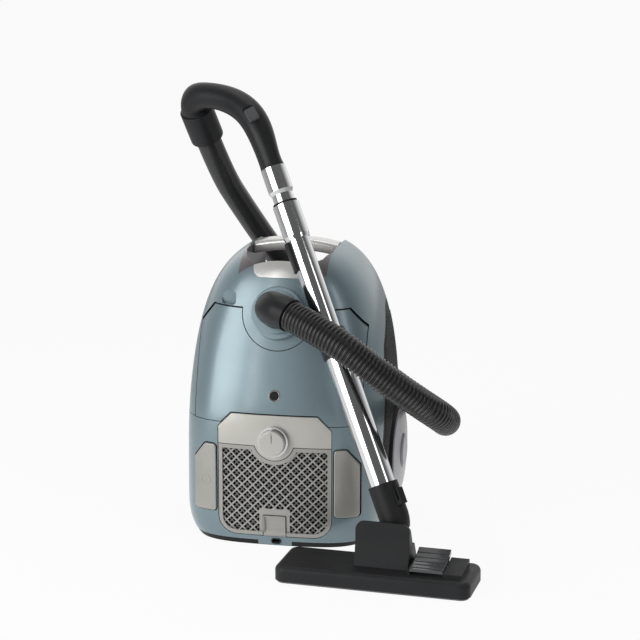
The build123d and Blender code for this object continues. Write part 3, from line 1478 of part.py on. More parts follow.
with BuildPart() as handle_ferrule:
    add(wand_cone(upper_radius + TUBE_WALL, COLLAR_RADIUS, COLLAR_START, COLLAR_START + SHOULDER))
    add(wand_bar(COLLAR_RADIUS, COLLAR_START + SHOULDER, COLLAR_END))
    add(wand_bar(NECK_RADIUS, COLLAR_END, FERRULE_START))
    add(wand_cone(NECK_RADIUS, FERRULE_RADIUS, FERRULE_START, FERRULE_START + SHOULDER))
    add(wand_bar(FERRULE_RADIUS, FERRULE_START + SHOULDER, FERRULE_END))
    add(wand_bar(upper_radius, COLLAR_START, UPPER_TUBE_END), mode=Mode.SUBTRACT)
save(handle_ferrule, "handle_ferrule")

with BuildPart() as tube_clip:
    add(wand_bar(upper_radius + CLIP_THICK, CLIP_START, CLIP_END))
    add(wand_bar(upper_radius, CLIP_START, CLIP_END), mode=Mode.SUBTRACT)
    with BuildSketch(wand_plane(CLIP_START)):
        with Locations((0.0, -REACH / 2.0)):
            Rectangle(REACH, REACH)
    extrude(amount=CLIP_END - CLIP_START, mode=Mode.SUBTRACT)
save(tube_clip, "tube_clip")

cuff_plane = Plane(origin=hose_end, x_dir=grip_normal, z_dir=hose_end_way)

with BuildPart() as hose_handle_cuff:
    with BuildSketch(cuff_plane.offset(-CUFF_OVERLAP)):
        Circle(CUFF_RADIUS)
    extrude(amount=CUFF_LENGTH + CUFF_OVERLAP)
    fillet(hose_handle_cuff.edges().filter_by(GeomType.CIRCLE), radius=TUBE_WALL)
    with BuildSketch(cuff_plane.offset(-CUFF_OVERLAP)):
        Circle(HOSE_SLEEVE_RADIUS + TUBE_FIT)
    extrude(amount=CUFF_OVERLAP, mode=Mode.SUBTRACT)
    with BuildSketch(cuff_plane):
        Circle(HOSE_BORE_RADIUS)
    extrude(amount=CUFF_LENGTH, mode=Mode.SUBTRACT)
    add(wand_handle.part, mode=Mode.SUBTRACT)
save(hose_handle_cuff, "hose_handle_cuff")

# Hose and its elbow
route = [Vector(*point) for point in HOSE_ROUTE]


def bend_radius(before, corner, after):
    """Radius of the arc that rounds one point of the route."""
    way_in = corner - before
    way_out = after - corner
    turn = way_in.get_angle(way_out)
    run = min(way_in.length, way_out.length)
    return HOSE_BEND_SHARE * run / math.tan(math.radians(turn / 2.0))


bend_radii = [bend_radius(*trio) for trio in zip(route, route[1:], route[2:])]
with BuildLine() as hose_line:
    FilletPolyline(*route, radius=bend_radii)
hose_path = hose_line.wires()[0]
print("hose bend radii", [round(radius) for radius in bend_radii])
print("hose length", round(hose_path.length, 1))

rib_pitch = hose_path.length / HOSE_RIBS
rib_profile = (
    (0.0, HOSE_ROOT_RADIUS),
    (HOSE_FLANK_SHARE, HOSE_RADIUS),
    (HOSE_FLANK_SHARE + HOSE_CREST_SHARE, HOSE_RADIUS),
    (2.0 * HOSE_FLANK_SHARE + HOSE_CREST_SHARE, HOSE_ROOT_RADIUS),
)
ribbed_count = HOSE_RIBS - HOSE_SMOOTH_RIBS
rib_places = [
    ((rib + share) * rib_pitch, radius) for rib in range(ribbed_count) for share, radius in rib_profile
]
for rib in range(ribbed_count, HOSE_RIBS + 1):
    rib_places.append((rib * rib_pitch, HOSE_SLEEVE_RADIUS))


def hose_planes(places):
    """Planes square to the hose whose X axis is carried along without twist."""
    planes = []
    sideways = Vector(0.0, 0.0, 1.0)
    for along, _ in places:
        share = along / hose_path.length
        way = hose_path.tangent_at(share)
        sideways = (sideways - way * sideways.dot(way)).normalized()
        planes.append(Plane(origin=hose_path.position_at(share), x_dir=sideways, z_dir=way))
    return planes


rib_planes = hose_planes(rib_places)
rib_middles = [hose_path.position_at(rib / HOSE_RIBS) for rib in range(HOSE_RIBS + 1)]
least_gap = min(
    (a - b).length - 2.0 * HOSE_RADIUS
    for i, a in enumerate(rib_middles)
    for b in rib_middles[i + HOSE_GAP_RIBS :]
)
print("hose least gap to itself", round(least_gap, 1))

with BuildPart() as hose_skin:
    for plane, (_, radius) in zip(rib_planes, rib_places):
        with BuildSketch(plane):
            Circle(radius)
    loft(ruled=True)

with BuildPart() as hose_core:
    with BuildSketch(rib_planes[0]):
        Circle(HOSE_BORE_RADIUS)
    sweep(path=hose_path)

with BuildPart() as hose:
    add(hose_skin.part)
    add(hose_core.part, mode=Mode.SUBTRACT)
save(hose, "hose")
flank_square = (HOSE_RADIUS**2 + HOSE_RADIUS * HOSE_ROOT_RADIUS + HOSE_ROOT_RADIUS**2) / 3.0
root_share = 1.0 - HOSE_CREST_SHARE - 2.0 * HOSE_FLANK_SHARE
mean_square = (
    HOSE_CREST_SHARE * HOSE_RADIUS**2
    + 2.0 * HOSE_FLANK_SHARE * flank_square
    + root_share * HOSE_ROOT_RADIUS**2
)
ribbed_volume = math.pi * (mean_square - HOSE_BORE_RADIUS**2) * ribbed_count * rib_pitch
sleeve_section = math.pi * (HOSE_SLEEVE_RADIUS**2 - HOSE_BORE_RADIUS**2)
sleeve_volume = sleeve_section * HOSE_SMOOTH_RIBS * rib_pitch
print("hose volume", round(hose.part.volume), "section times length", round(ribbed_volume + sleeve_volume))

inlet_way = inlet_axis.z_dir
elbow_start = inlet_axis.origin + inlet_way * (INLET_STEP_HEIGHT + SLIP)
elbow_corner = inlet_axis.origin + inlet_way * ELBOW_RUN
hose_start = route[0]
hose_way = (route[1] - route[0]).normalized()
elbow_end = hose_start - hose_way * SLIP
elbow_reach = elbow_end + (elbow_end - elbow_corner).normalized() * ELBOW_OVERRUN
with BuildLine() as elbow_line:
    FilletPolyline(elbow_start, elbow_corner, elbow_reach, radius=ELBOW_BEND)
elbow_path = elbow_line.wires()[0]

with BuildPart() as elbow_bore:
    with BuildSketch(Plane(origin=elbow_start, x_dir=(1.0, 0.0, 0.0), z_dir=inlet_way)):
        Circle(HOSE_BORE_RADIUS)
    sweep(path=elbow_path)
    add(cut_inlet(HOSE_BORE_RADIUS, -ELBOW_PLUG_DEPTH, INLET_STEP_HEIGHT + SLIP))

with BuildPart() as hose_inlet_cuff:
    with BuildSketch(Plane(origin=elbow_start, x_dir=(1.0, 0.0, 0.0), z_dir=inlet_way)):
        Circle(ELBOW_RADIUS)
    sweep(path=elbow_path)
    add(cut_inlet(INLET_BORE_RADIUS - SLIP, -ELBOW_PLUG_DEPTH, INLET_STEP_HEIGHT + SLIP))
    add(elbow_bore.part, mode=Mode.SUBTRACT)
    with BuildSketch(Plane(origin=elbow_end, z_dir=hose_way)):
        Circle(2.0 * ELBOW_RADIUS)
    extrude(amount=2.0 * ELBOW_OVERRUN, mode=Mode.SUBTRACT)
save(hose_inlet_cuff, "hose_inlet_cuff")

# Neck between the wand and the floor head
socket_corner = wand_point(SOCKET_CORNER)
swivel_x = socket_corner.X
swivel_y = socket_corner.Y
socket_foot = Vector(swivel_x, swivel_y, SOCKET_FOOT_Z)
socket_top = wand_point(SOCKET_TOP)
with BuildLine() as socket_line:
    FilletPolyline(socket_top, socket_corner, socket_foot, radius=SOCKET_BEND)
socket_path = socket_line.wires()[0]
swivel_top_z = SOCKET_FOOT_Z + SWIVEL_PIN_LENGTH

with BuildPart() as neck_socket:
    with BuildSketch(Plane(origin=socket_top, x_dir=wand_side, z_dir=-lean)):
        Circle(SOCKET_RADIUS)
    sweep(path=socket_path)
    add(wand_bar(LOWER_TUBE_RADIUS, LOWER_TUBE_START, SOCKET_TOP), mode=Mode.SUBTRACT)
    add(
        upright_cylinder(
            SWIVEL_PIN_RADIUS + SWIVEL_GAP,
            swivel_x,
            swivel_y,
            SOCKET_FOOT_Z,
            swivel_top_z + SWIVEL_GAP,
        ),
        mode=Mode.SUBTRACT,
    )
save(neck_socket, "neck_socket")

hook_plane = Plane(origin=wand_point(HOOK_LOW), x_dir=wand_side, z_dir=lean)

with BuildPart() as park_hook:
    with BuildSketch(hook_plane):
        with Locations((0.0, -SOCKET_RADIUS)):
            Rectangle(HOOK_WIDTH, 2.0 * HOOK_REACH)
    extrude(amount=HOOK_HIGH - HOOK_LOW)
    with BuildSketch(hook_plane.offset(HOOK_FLOOR)):
        with Locations((0.0, -SOCKET_RADIUS - HOOK_REACH / 2.0)):
            Rectangle(HOOK_WIDTH, HOOK_SLOT)
    extrude(amount=HOOK_HIGH - HOOK_LOW, mode=Mode.SUBTRACT)
    add(wand_bar(SOCKET_RADIUS, HOOK_LOW, HOOK_HIGH), mode=Mode.SUBTRACT)
save(park_hook, "park_hook")

# Floor head
yaw = math.radians(HEAD_YAW)
head_plane = Plane(
    origin=(HEAD_CENTRE[0], HEAD_CENTRE[1], 0.0),
    x_dir=(math.cos(yaw), math.sin(yaw), 0.0),
    z_dir=(0.0, 0.0, 1.0),
)
neck_a = head_plane.to_local_coords(socket_foot).X
neck_b = head_plane.to_local_coords(socket_foot).Y


def head_prism(draw, low_z, high_z):
    """An upright prism in the floor head's own frame."""
    with BuildPart() as prism:
        with BuildSketch(head_plane.offset(low_z)):
            draw()
        extrude(amount=high_z - low_z)
    return prism.part


def head_bar(radius, start_a, end_a, b, z):
    """A round bar along the floor head."""
    foot = head_plane.from_local_coords(Vector(start_a, b, z))
    with BuildPart() as bar:
        with BuildSketch(Plane(origin=foot, x_dir=head_plane.y_dir, z_dir=head_plane.x_dir)):
            Circle(radius)
        extrude(amount=end_a - start_a)
    return bar.part


def head_side_prism(start_a, end_a, points):
    """A prism along the floor head from an outline seen along it, in depth and height."""
    foot = head_plane.from_local_coords(Vector(start_a, 0.0, 0.0))
    with BuildPart() as prism:
        with BuildSketch(Plane(origin=foot, x_dir=head_plane.y_dir, z_dir=head_plane.x_dir)):
            with BuildLine():
                Polyline(*points, close=True)
            make_face()
        extrude(amount=end_a - start_a)
    return prism.part


def head_outline():
    RectangleRounded(2.0 * HEAD_HALF_LENGTH, 2.0 * HEAD_HALF_DEPTH, HEAD_CORNER)


def sole_outline():
    RectangleRounded(
        2.0 * (HEAD_HALF_LENGTH - SOLE_INSET), 2.0 * (HEAD_HALF_DEPTH - SOLE_INSET), HEAD_CORNER - SOLE_INSET
    )


def slot_outline():
    with Locations((0.0, BRUSH_STRIP_B)):
        Rectangle(2.0 * (BRUSH_STRIP_HALF + SLIP), BRUSH_STRIP_DEPTH + 2.0 * SLIP)


def mouth_outline():
    with Locations((0.0, MOUTH_B)):
        Rectangle(2.0 * MOUTH_HALF, MOUTH_DEPTH)


def strip_outline():
    with Locations((0.0, BRUSH_STRIP_B)):
        Rectangle(2.0 * BRUSH_STRIP_HALF, BRUSH_STRIP_DEPTH)


with BuildPart() as floor_sole:
    add(head_prism(sole_outline, 0.0, SOLE_THICK))
    add(head_prism(slot_outline, 0.0, SOLE_THICK), mode=Mode.SUBTRACT)
    add(head_prism(mouth_outline, 0.0, SOLE_THICK), mode=Mode.SUBTRACT)
save(floor_sole, "floor_sole")

with BuildPart() as brush_strip:
    add(head_prism(strip_outline, BRUSH_STRIP_LOW_Z, BRUSH_STRIP_LOW_Z + BRUSH_STRIP_HEIGHT))
save(brush_strip, "brush_strip")

hood_front_b = neck_b - KNUCKLE_RADIUS - HOOD_FRONT
hood_inner_b = neck_b - SOCKET_RADIUS - HOOD_ROOM
hood_outer_b = hood_inner_b - HOOD_WALL
cheek_inner = KNUCKLE_RADIUS + KNUCKLE_GAP
head_side_plane = Plane(origin=head_plane.origin, x_dir=head_plane.y_dir, z_dir=head_plane.x_dir)

with BuildPart() as hood:
    with BuildSketch(head_side_plane.offset(HOOD_LOW_A)):
        with BuildLine() as hood_edge:
            Spline(
                (hood_front_b, HOOD_FOOT_Z),
                (hood_front_b + HOOD_WAIST[0], HOOD_WAIST[1]),
                (hood_outer_b, HOOD_TOP_Z),
            )
            Polyline(
                (hood_outer_b, HOOD_TOP_Z),
                (hood_inner_b, HOOD_TOP_Z),
                (neck_b - KNUCKLE_RADIUS / 2.0, CHEEK_TOP_Z),
                (neck_b, CHEEK_TOP_Z),
                (HEAD_HALF_DEPTH - SOLE_INSET, HOOD_FLOOR_Z),
                (hood_front_b, SOLE_THICK),
                (hood_front_b, HOOD_FOOT_Z),
            )
        make_face(hood_edge.edges())
    extrude(amount=HOOD_HIGH_A - HOOD_LOW_A)
    across_edges = hood.edges().filter_by(Axis(head_plane.origin, head_plane.y_dir))
    fillet(across_edges.sort_by(Axis.Z)[-2:], radius=HOOD_CORNER)

with BuildPart() as neck_knuckle:
    add(upright_cylinder(KNUCKLE_RADIUS, swivel_x, swivel_y, KNUCKLE_AXIS_Z, SOCKET_FOOT_Z - SWIVEL_GAP))
    add(upright_cylinder(SWIVEL_PIN_RADIUS, swivel_x, swivel_y, KNUCKLE_AXIS_Z, swivel_top_z))
    add(
        head_bar(
            KNUCKLE_BARREL_RADIUS,
            neck_a - KNUCKLE_RADIUS,
            neck_a + KNUCKLE_RADIUS,
            neck_b,
            KNUCKLE_AXIS_Z,
        )
    )
    add(
        head_bar(
            KNUCKLE_PIN_RADIUS,
            neck_a - cheek_inner - KNUCKLE_PIN_END,
            neck_a + cheek_inner + KNUCKLE_PIN_END,
            neck_b,
            KNUCKLE_AXIS_Z,
        )
    )
save(neck_knuckle, "neck_knuckle")

pedal_mid_b = (BRUSH_PEDAL_B[0] + BRUSH_PEDAL_B[1]) / 2.0
pedal_pin_z = BRUSH_PEDAL_LOW_Z + BRUSH_PIN_RADIUS
pedal_points = (
    (BRUSH_PEDAL_B[0], BRUSH_PEDAL_LOW_Z + BRUSH_PEDAL_THICK / 3.0),
    (pedal_mid_b, BRUSH_PEDAL_LOW_Z),
    (BRUSH_PEDAL_B[1], BRUSH_PEDAL_LOW_Z + BRUSH_PEDAL_RISE),
    (BRUSH_PEDAL_B[1], BRUSH_PEDAL_LOW_Z + BRUSH_PEDAL_RISE + BRUSH_PEDAL_THICK),
    (pedal_mid_b, BRUSH_PEDAL_LOW_Z + BRUSH_PEDAL_THICK + BRUSH_PIN_RADIUS),
    (BRUSH_PEDAL_B[0], BRUSH_PEDAL_LOW_Z + BRUSH_PEDAL_THICK),
)

with BuildPart() as brush_pedal:
    add(head_side_prism(BRUSH_PEDAL_A[0], BRUSH_PEDAL_A[1], pedal_points))
    add(
        head_bar(
            BRUSH_PIN_RADIUS,
            BRUSH_PEDAL_A[0] - BRUSH_PIN_RADIUS,
            BRUSH_PEDAL_A[1] + BRUSH_PIN_RADIUS,
            pedal_mid_b,
            pedal_pin_z,
        )
    )
save(brush_pedal, "brush_pedal")

end_block_points = (
    (BRUSH_PEDAL_B[0], HEAD_HEIGHT - HEAD_ROUND),
    (BRUSH_PEDAL_B[0], HEAD_HEIGHT + END_BLOCK_RISE),
    (BRUSH_PEDAL_B[1], HEAD_HEIGHT + 2.0 * END_BLOCK_RISE),
    (BRUSH_PEDAL_B[1], HEAD_HEIGHT - HEAD_ROUND),
)

with BuildPart() as floor_head:
    add(head_prism(head_outline, SOLE_THICK, HEAD_HEIGHT))
    fillet(floor_head.faces().sort_by(Axis.Z)[-1].edges(), radius=HEAD_ROUND)
    add(hood.part)
    for start, end in (
        (BRUSH_PEDAL_A[0] - PEDAL_WALL, BRUSH_PEDAL_A[0] - SLIP),
        (BRUSH_PEDAL_A[1] + SLIP, HEAD_HALF_LENGTH - HEAD_CORNER),
    ):
        add(head_side_prism(start, end, end_block_points))
    add(
        head_side_prism(
            neck_a - cheek_inner,
            neck_a + cheek_inner,
            (
                (hood_inner_b, HOOD_TOP_Z + KNUCKLE_CLEAR),
                (hood_inner_b, HOOD_TOP_Z),
                (neck_b - KNUCKLE_RADIUS - KNUCKLE_CLEAR, KNUCKLE_AXIS_Z),
                (neck_b - KNUCKLE_RADIUS - KNUCKLE_CLEAR, HOOD_FLOOR_Z - KNUCKLE_CLEAR),
                (HEAD_HALF_DEPTH, HOOD_FLOOR_Z - KNUCKLE_CLEAR),
                (HEAD_HALF_DEPTH, HOOD_TOP_Z + KNUCKLE_CLEAR),
            ),
        ),
        mode=Mode.SUBTRACT,
    )
    add(
        head_bar(
            KNUCKLE_PIN_RADIUS + AXLE_FIT,
            neck_a - cheek_inner - KNUCKLE_PIN_END - SLIP,
            neck_a + cheek_inner + KNUCKLE_PIN_END + SLIP,
            neck_b,
            KNUCKLE_AXIS_Z,
        ),
        mode=Mode.SUBTRACT,
    )
    add(
        head_bar(
            BRUSH_PIN_RADIUS + AXLE_FIT,
            BRUSH_PEDAL_A[0] - BRUSH_PIN_RADIUS - AXLE_FIT,
            BRUSH_PEDAL_A[1] + BRUSH_PIN_RADIUS + AXLE_FIT,
            pedal_mid_b,
            pedal_pin_z,
        ),
        mode=Mode.SUBTRACT,
    )
    add(head_prism(slot_outline, 0.0, BRUSH_STRIP_LOW_Z + BRUSH_STRIP_HEIGHT + SLIP), mode=Mode.SUBTRACT)
    add(head_prism(mouth_outline, 0.0, MOUTH_TOP_Z), mode=Mode.SUBTRACT)
save(floor_head, "floor_head")
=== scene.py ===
"""Looks of a canister vacuum cleaner that is parked upright with its wand standing in front of it.

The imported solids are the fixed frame. This file dresses them, makes the hose, springs, filters, bag,
bristles and fine trim, and sets up the studio. Lengths are in metres, in the frame of the solids.
"""

import logging
import math
from dataclasses import dataclass, field, replace
from enum import Enum
from typing import Any, Iterable, Mapping, Optional, Sequence

import bpy
import numpy as np
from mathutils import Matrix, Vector


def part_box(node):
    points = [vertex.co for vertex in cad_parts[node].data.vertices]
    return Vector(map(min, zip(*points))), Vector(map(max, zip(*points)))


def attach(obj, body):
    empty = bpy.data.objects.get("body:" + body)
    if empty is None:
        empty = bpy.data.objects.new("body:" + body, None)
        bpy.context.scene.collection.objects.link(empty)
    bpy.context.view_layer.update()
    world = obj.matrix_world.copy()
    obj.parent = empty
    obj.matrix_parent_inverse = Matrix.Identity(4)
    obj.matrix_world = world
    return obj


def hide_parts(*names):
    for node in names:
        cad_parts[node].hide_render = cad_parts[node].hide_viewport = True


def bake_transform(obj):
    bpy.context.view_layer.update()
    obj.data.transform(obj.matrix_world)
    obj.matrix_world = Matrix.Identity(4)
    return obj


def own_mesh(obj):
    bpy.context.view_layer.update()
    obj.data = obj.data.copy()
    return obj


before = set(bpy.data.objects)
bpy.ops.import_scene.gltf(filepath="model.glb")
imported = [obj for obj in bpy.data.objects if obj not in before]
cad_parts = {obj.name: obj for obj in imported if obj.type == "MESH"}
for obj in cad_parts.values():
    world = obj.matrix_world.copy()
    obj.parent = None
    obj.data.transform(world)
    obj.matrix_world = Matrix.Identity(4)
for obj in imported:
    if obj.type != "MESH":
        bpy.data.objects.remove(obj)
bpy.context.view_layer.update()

LOG = logging.getLogger("canister_cleaner")

Colour = tuple[float, float, float]
Point = tuple[float, float, float]


class Texture(Enum):
    """The fine structure that a finish shows up close."""

    GRAIN = "moulded grain"
    FLAKE = "metal flake"
    DRAWN = "drawn lines"
    FLEECE = "fleece"


class Side(Enum):
    """The cleaner's two sides, seen from the front."""

    LEFT = -1.0
    RIGHT = 1.0


class Graph:
    """A node tree with short calls that add nodes and link them."""

    def __init__(self, tree: bpy.types.NodeTree) -> None:
        """Keep the tree that the nodes go into."""
        self.tree = tree

    def add(
        self, kind: str, inputs: Optional[Mapping[Any, Any]] = None, **settings: Any
    ) -> bpy.types.Node:
        """Add one node.

        Args:
            kind: Blender's name of the node type.
            inputs: values or output sockets for its inputs, by name or place.
            settings: the node's own settings.

        Returns:
            The new node.
        """
        node = self.tree.nodes.new(kind)
        for name, value in settings.items():
            setattr(node, name, value)
        for key, value in (inputs or {}).items():
            self.set(node.inputs[key], value)
        return node

    def set(self, socket: bpy.types.NodeSocket, value: Any) -> None:
        """Link an output socket to an input, or write a plain value on it.

        Args:
            socket: the input.
            value: an output socket, a number, a colour or a vector.
        """
        if isinstance(value, bpy.types.NodeSocket):
            self.tree.links.new(value, socket)
        elif socket.type == "RGBA":
            socket.default_value = (*value[:3], 1.0)
        else:
            socket.default_value = value

    def math(self, operation: str, *values: Any, clamp: bool = False) -> bpy.types.NodeSocket:
        """Add a Math node for numbers or sockets and give its result's socket."""
        node = self.add("ShaderNodeMath", dict(enumerate(values)), operation=operation, use_clamp=clamp)
        return node.outputs[0]

    def mix(self, share: Any, first: Any, second: Any, blend: str = "MIX") -> bpy.types.NodeSocket:
        """Add a colour Mix node.

        Args:
            share: how much of the second colour shows.
            first: the colour at share 0.
            second: the colour at share 1.
            blend: the way of mixing.

        Returns:
            The mixed colour's socket.
        """
        node = self.add(
            "ShaderNodeMix", {0: share, 6: first, 7: second}, data_type="RGBA", blend_type=blend
        )
        return node.outputs[2]


class Effect:
    """A shader node group that is built once and placed in several finishes."""

    title: str = ""
    inputs: tuple[tuple[str, str, Any], ...] = ()
    outputs: tuple[tuple[str, str], ...] = ()

    def wire(self, graph: Graph, given: bpy.types.Node, result: bpy.types.Node) -> None:
        """Make the group's inner nodes, from its inputs to its outputs."""
        raise NotImplementedError

    def group(self) -> bpy.types.NodeTree:
        """Build the group on first use.

        Returns:
            The group's tree.
        """
        tree = bpy.data.node_groups.get(self.title)
        if tree is not None:
            return tree
        tree = bpy.data.node_groups.new(self.title, "ShaderNodeTree")
        for name, kind, value in self.inputs:
            socket = tree.interface.new_socket(name=name, in_out="INPUT", socket_type=kind)
            socket.default_value = value
        for name, kind in self.outputs:
            tree.interface.new_socket(name=name, in_out="OUTPUT", socket_type=kind)
        given = tree.nodes.new("NodeGroupInput")
        result = tree.nodes.new("NodeGroupOutput")
        self.wire(Graph(tree), given, result)
        return tree

    def place(self, graph: Graph, **values: Any) -> bpy.types.Node:
        """Place the group in a material's tree, with values or sockets for its inputs."""
        return graph.add("ShaderNodeGroup", values, node_tree=self.group())


class RoundedEdges(Effect):
    """Softens the solids' sharp edges and finds where they are."""

    title = "rounded_edges"
    inputs = (("Radius", "NodeSocketFloat", 0.0006),)
    outputs = (("Normal", "NodeSocketVector"), ("Edge", "NodeSocketFloat"))

    def wire(self, graph: Graph, given: bpy.types.Node, result: bpy.types.Node) -> None:
        """Compare the softened normal with the plain one.

        Args:
            graph: the group's tree.
            given: the node with the group's inputs.
            result: the node with the group's outputs.
        """
        bevel = graph.add("ShaderNodeBevel", {"Radius": given.outputs["Radius"]}, samples=4)
        plain = graph.add("ShaderNodeNewGeometry")
        dot = graph.add(
            "ShaderNodeVectorMath",
            {0: bevel.outputs["Normal"], 1: plain.outputs["Normal"]},
            operation="DOT_PRODUCT",
        )
        turned = graph.math("SUBTRACT", 1.0, dot.outputs["Value"])
        graph.set(result.inputs["Normal"], bevel.outputs["Normal"])
        graph.set(result.inputs["Edge"], graph.math("MULTIPLY", turned, 5.0, clamp=True))


class MouldedGrain(Effect):
    """Fine pebbled grain of a moulded surface."""

    title = "moulded_grain"
    inputs = (("Scale", "NodeSocketFloat", 900.0),)
    outputs = (("Height", "NodeSocketFloat"), ("Tone", "NodeSocketFloat"))

    def wire(self, graph: Graph, given: bpy.types.Node, result: bpy.types.Node) -> None:
        """Lay small cells over soft noise.

        Args:
            graph: the group's tree.
            given: the node with the group's inputs.
            result: the node with the group's outputs.
        """
        place = graph.add("ShaderNodeTexCoord").outputs["Object"]
        scale = given.outputs["Scale"]
        noise = graph.add("ShaderNodeTexNoise", {"Vector": place, "Scale": scale, "Detail": 3.0})
        cells = graph.add(
            "ShaderNodeTexVoronoi",
            {"Vector": place, "Scale": graph.math("MULTIPLY", scale, 0.7), "Smoothness": 0.6},
            feature="SMOOTH_F1",
        )
        high = graph.math("MULTIPLY_ADD", cells.outputs["Distance"], -0.5, noise.outputs["Fac"])
        cloud = graph.add("ShaderNodeTexNoise", {"Vector": place, "Scale": 28.0, "Detail": 4.0})
        graph.set(result.inputs["Height"], high)
        graph.set(result.inputs["Tone"], cloud.outputs["Fac"])


class MetalFlake(Effect):
    """Tiny bright and dark flakes in a metallic lacquer."""

    title = "metal_flake"
    inputs = (
        ("Colour", "NodeSocketColor", (0.5, 0.5, 0.5, 1.0)),
        ("Sparkle", "NodeSocketFloat", 0.1),
        ("Scale", "NodeSocketFloat", 2600.0),
    )
    outputs = (
        ("Colour", "NodeSocketColor"),
        ("Height", "NodeSocketFloat"),
        ("Tone", "NodeSocketFloat"),
    )

    def wire(self, graph: Graph, given: bpy.types.Node, result: bpy.types.Node) -> None:
        """Tint each flake a little lighter or darker.

        Args:
            graph: the group's tree.
            given: the node with the group's inputs.
            result: the node with the group's outputs.
        """
        place = graph.add("ShaderNodeTexCoord").outputs["Object"]
        flakes = graph.add("ShaderNodeTexVoronoi", {"Vector": place, "Scale": given.outputs["Scale"]})
        split = graph.add("ShaderNodeSeparateColor", {"Color": flakes.outputs["Color"]})
        bright = graph.math("SUBTRACT", split.outputs[0], 0.5)
        gain = graph.math("MULTIPLY_ADD", bright, given.outputs["Sparkle"], 1.0)
        tinted = graph.add(
            "ShaderNodeVectorMath",
            {0: given.outputs["Colour"], "Scale": gain},
            operation="SCALE",
        )
        cloud = graph.add("ShaderNodeTexNoise", {"Vector": place, "Scale": 18.0, "Detail": 3.0})
        graph.set(result.inputs["Colour"], tinted.outputs["Vector"])
        graph.set(result.inputs["Height"], split.outputs[1])
        graph.set(result.inputs["Tone"], cloud.outputs["Fac"])


class DrawnLines(Effect):
    """Fine lines that a die or a lathe leaves along a direction."""

    title = "drawn_lines"
    inputs = (
        ("Way", "NodeSocketVector", (0.0, 0.0, 1.0)),
        ("Scale", "NodeSocketFloat", 1500.0),
    )
    outputs = (("Height", "NodeSocketFloat"), ("Tone", "NodeSocketFloat"))

    def wire(self, graph: Graph, given: bpy.types.Node, result: bpy.types.Node) -> None:
        """Stretch noise along the direction.

        Args:
            graph: the group's tree.
            given: the node with the group's inputs.
            result: the node with the group's outputs.
        """
        place = graph.add("ShaderNodeTexCoord").outputs["Object"]
        along = graph.add(
            "ShaderNodeVectorMath", {0: place, 1: given.outputs["Way"]}, operation="PROJECT"
        )
        short = graph.add(
            "ShaderNodeVectorMath", {0: along.outputs["Vector"], "Scale": 0.985}, operation="SCALE"
        )
        across = graph.add(
            "ShaderNodeVectorMath", {0: place, 1: short.outputs["Vector"]}, operation="SUBTRACT"
        )
        lines = graph.add(
            "ShaderNodeTexNoise",
            {"Vector": across.outputs["Vector"], "Scale": given.outputs["Scale"], "Detail": 2.0},
        )
        smear = graph.add("ShaderNodeTexNoise", {"Vector": place, "Scale": 40.0, "Detail": 5.0})
        graph.set(result.inputs["Height"], lines.outputs["Fac"])
        graph.set(result.inputs["Tone"], smear.outputs["Fac"])


class Fleece(Effect):
    """Matted fibres of paper, fleece and foam."""

    title = "fleece_fibres"
    inputs = (("Scale", "NodeSocketFloat", 600.0),)
    outputs = (("Height", "NodeSocketFloat"), ("Tone", "NodeSocketFloat"))

    def wire(self, graph: Graph, given: bpy.types.Node, result: bpy.types.Node) -> None:
        """Twist noise into short fibres.

        Args:
            graph: the group's tree.
            given: the node with the group's inputs.
            result: the node with the group's outputs.
        """
        place = graph.add("ShaderNodeTexCoord").outputs["Object"]
        fibres = graph.add(
            "ShaderNodeTexNoise",
            {"Vector": place, "Scale": given.outputs["Scale"], "Detail": 6.0, "Distortion": 3.0},
        )
        blotch = graph.add("ShaderNodeTexNoise", {"Vector": place, "Scale": 45.0, "Detail": 3.0})
        graph.set(result.inputs["Height"], fibres.outputs["Fac"])
        graph.set(result.inputs["Tone"], blotch.outputs["Fac"])


class ToneDrift(Effect):
    """Slow drift of a colour between two shades."""

    title = "tone_drift"
    inputs = (
        ("Colour", "NodeSocketColor", (0.5, 0.5, 0.5, 1.0)),
        ("Shade", "NodeSocketColor", (0.4, 0.4, 0.4, 1.0)),
        ("Tone", "NodeSocketFloat", 0.5),
    )
    outputs = (("Colour", "NodeSocketColor"),)

    def wire(self, graph: Graph, given: bpy.types.Node, result: bpy.types.Node) -> None:
        """Mix the two shades by a stretched tone.

        Args:
            graph: the group's tree.
            given: the node with the group's inputs.
            result: the node with the group's outputs.
        """
        spread = graph.add(
            "ShaderNodeMapRange",
            {"Value": given.outputs["Tone"], "From Min": 0.3, "From Max": 0.7},
        )
        mixed = graph.mix(spread.outputs[0], given.outputs["Colour"], given.outputs["Shade"])
        graph.set(result.inputs["Colour"], mixed)


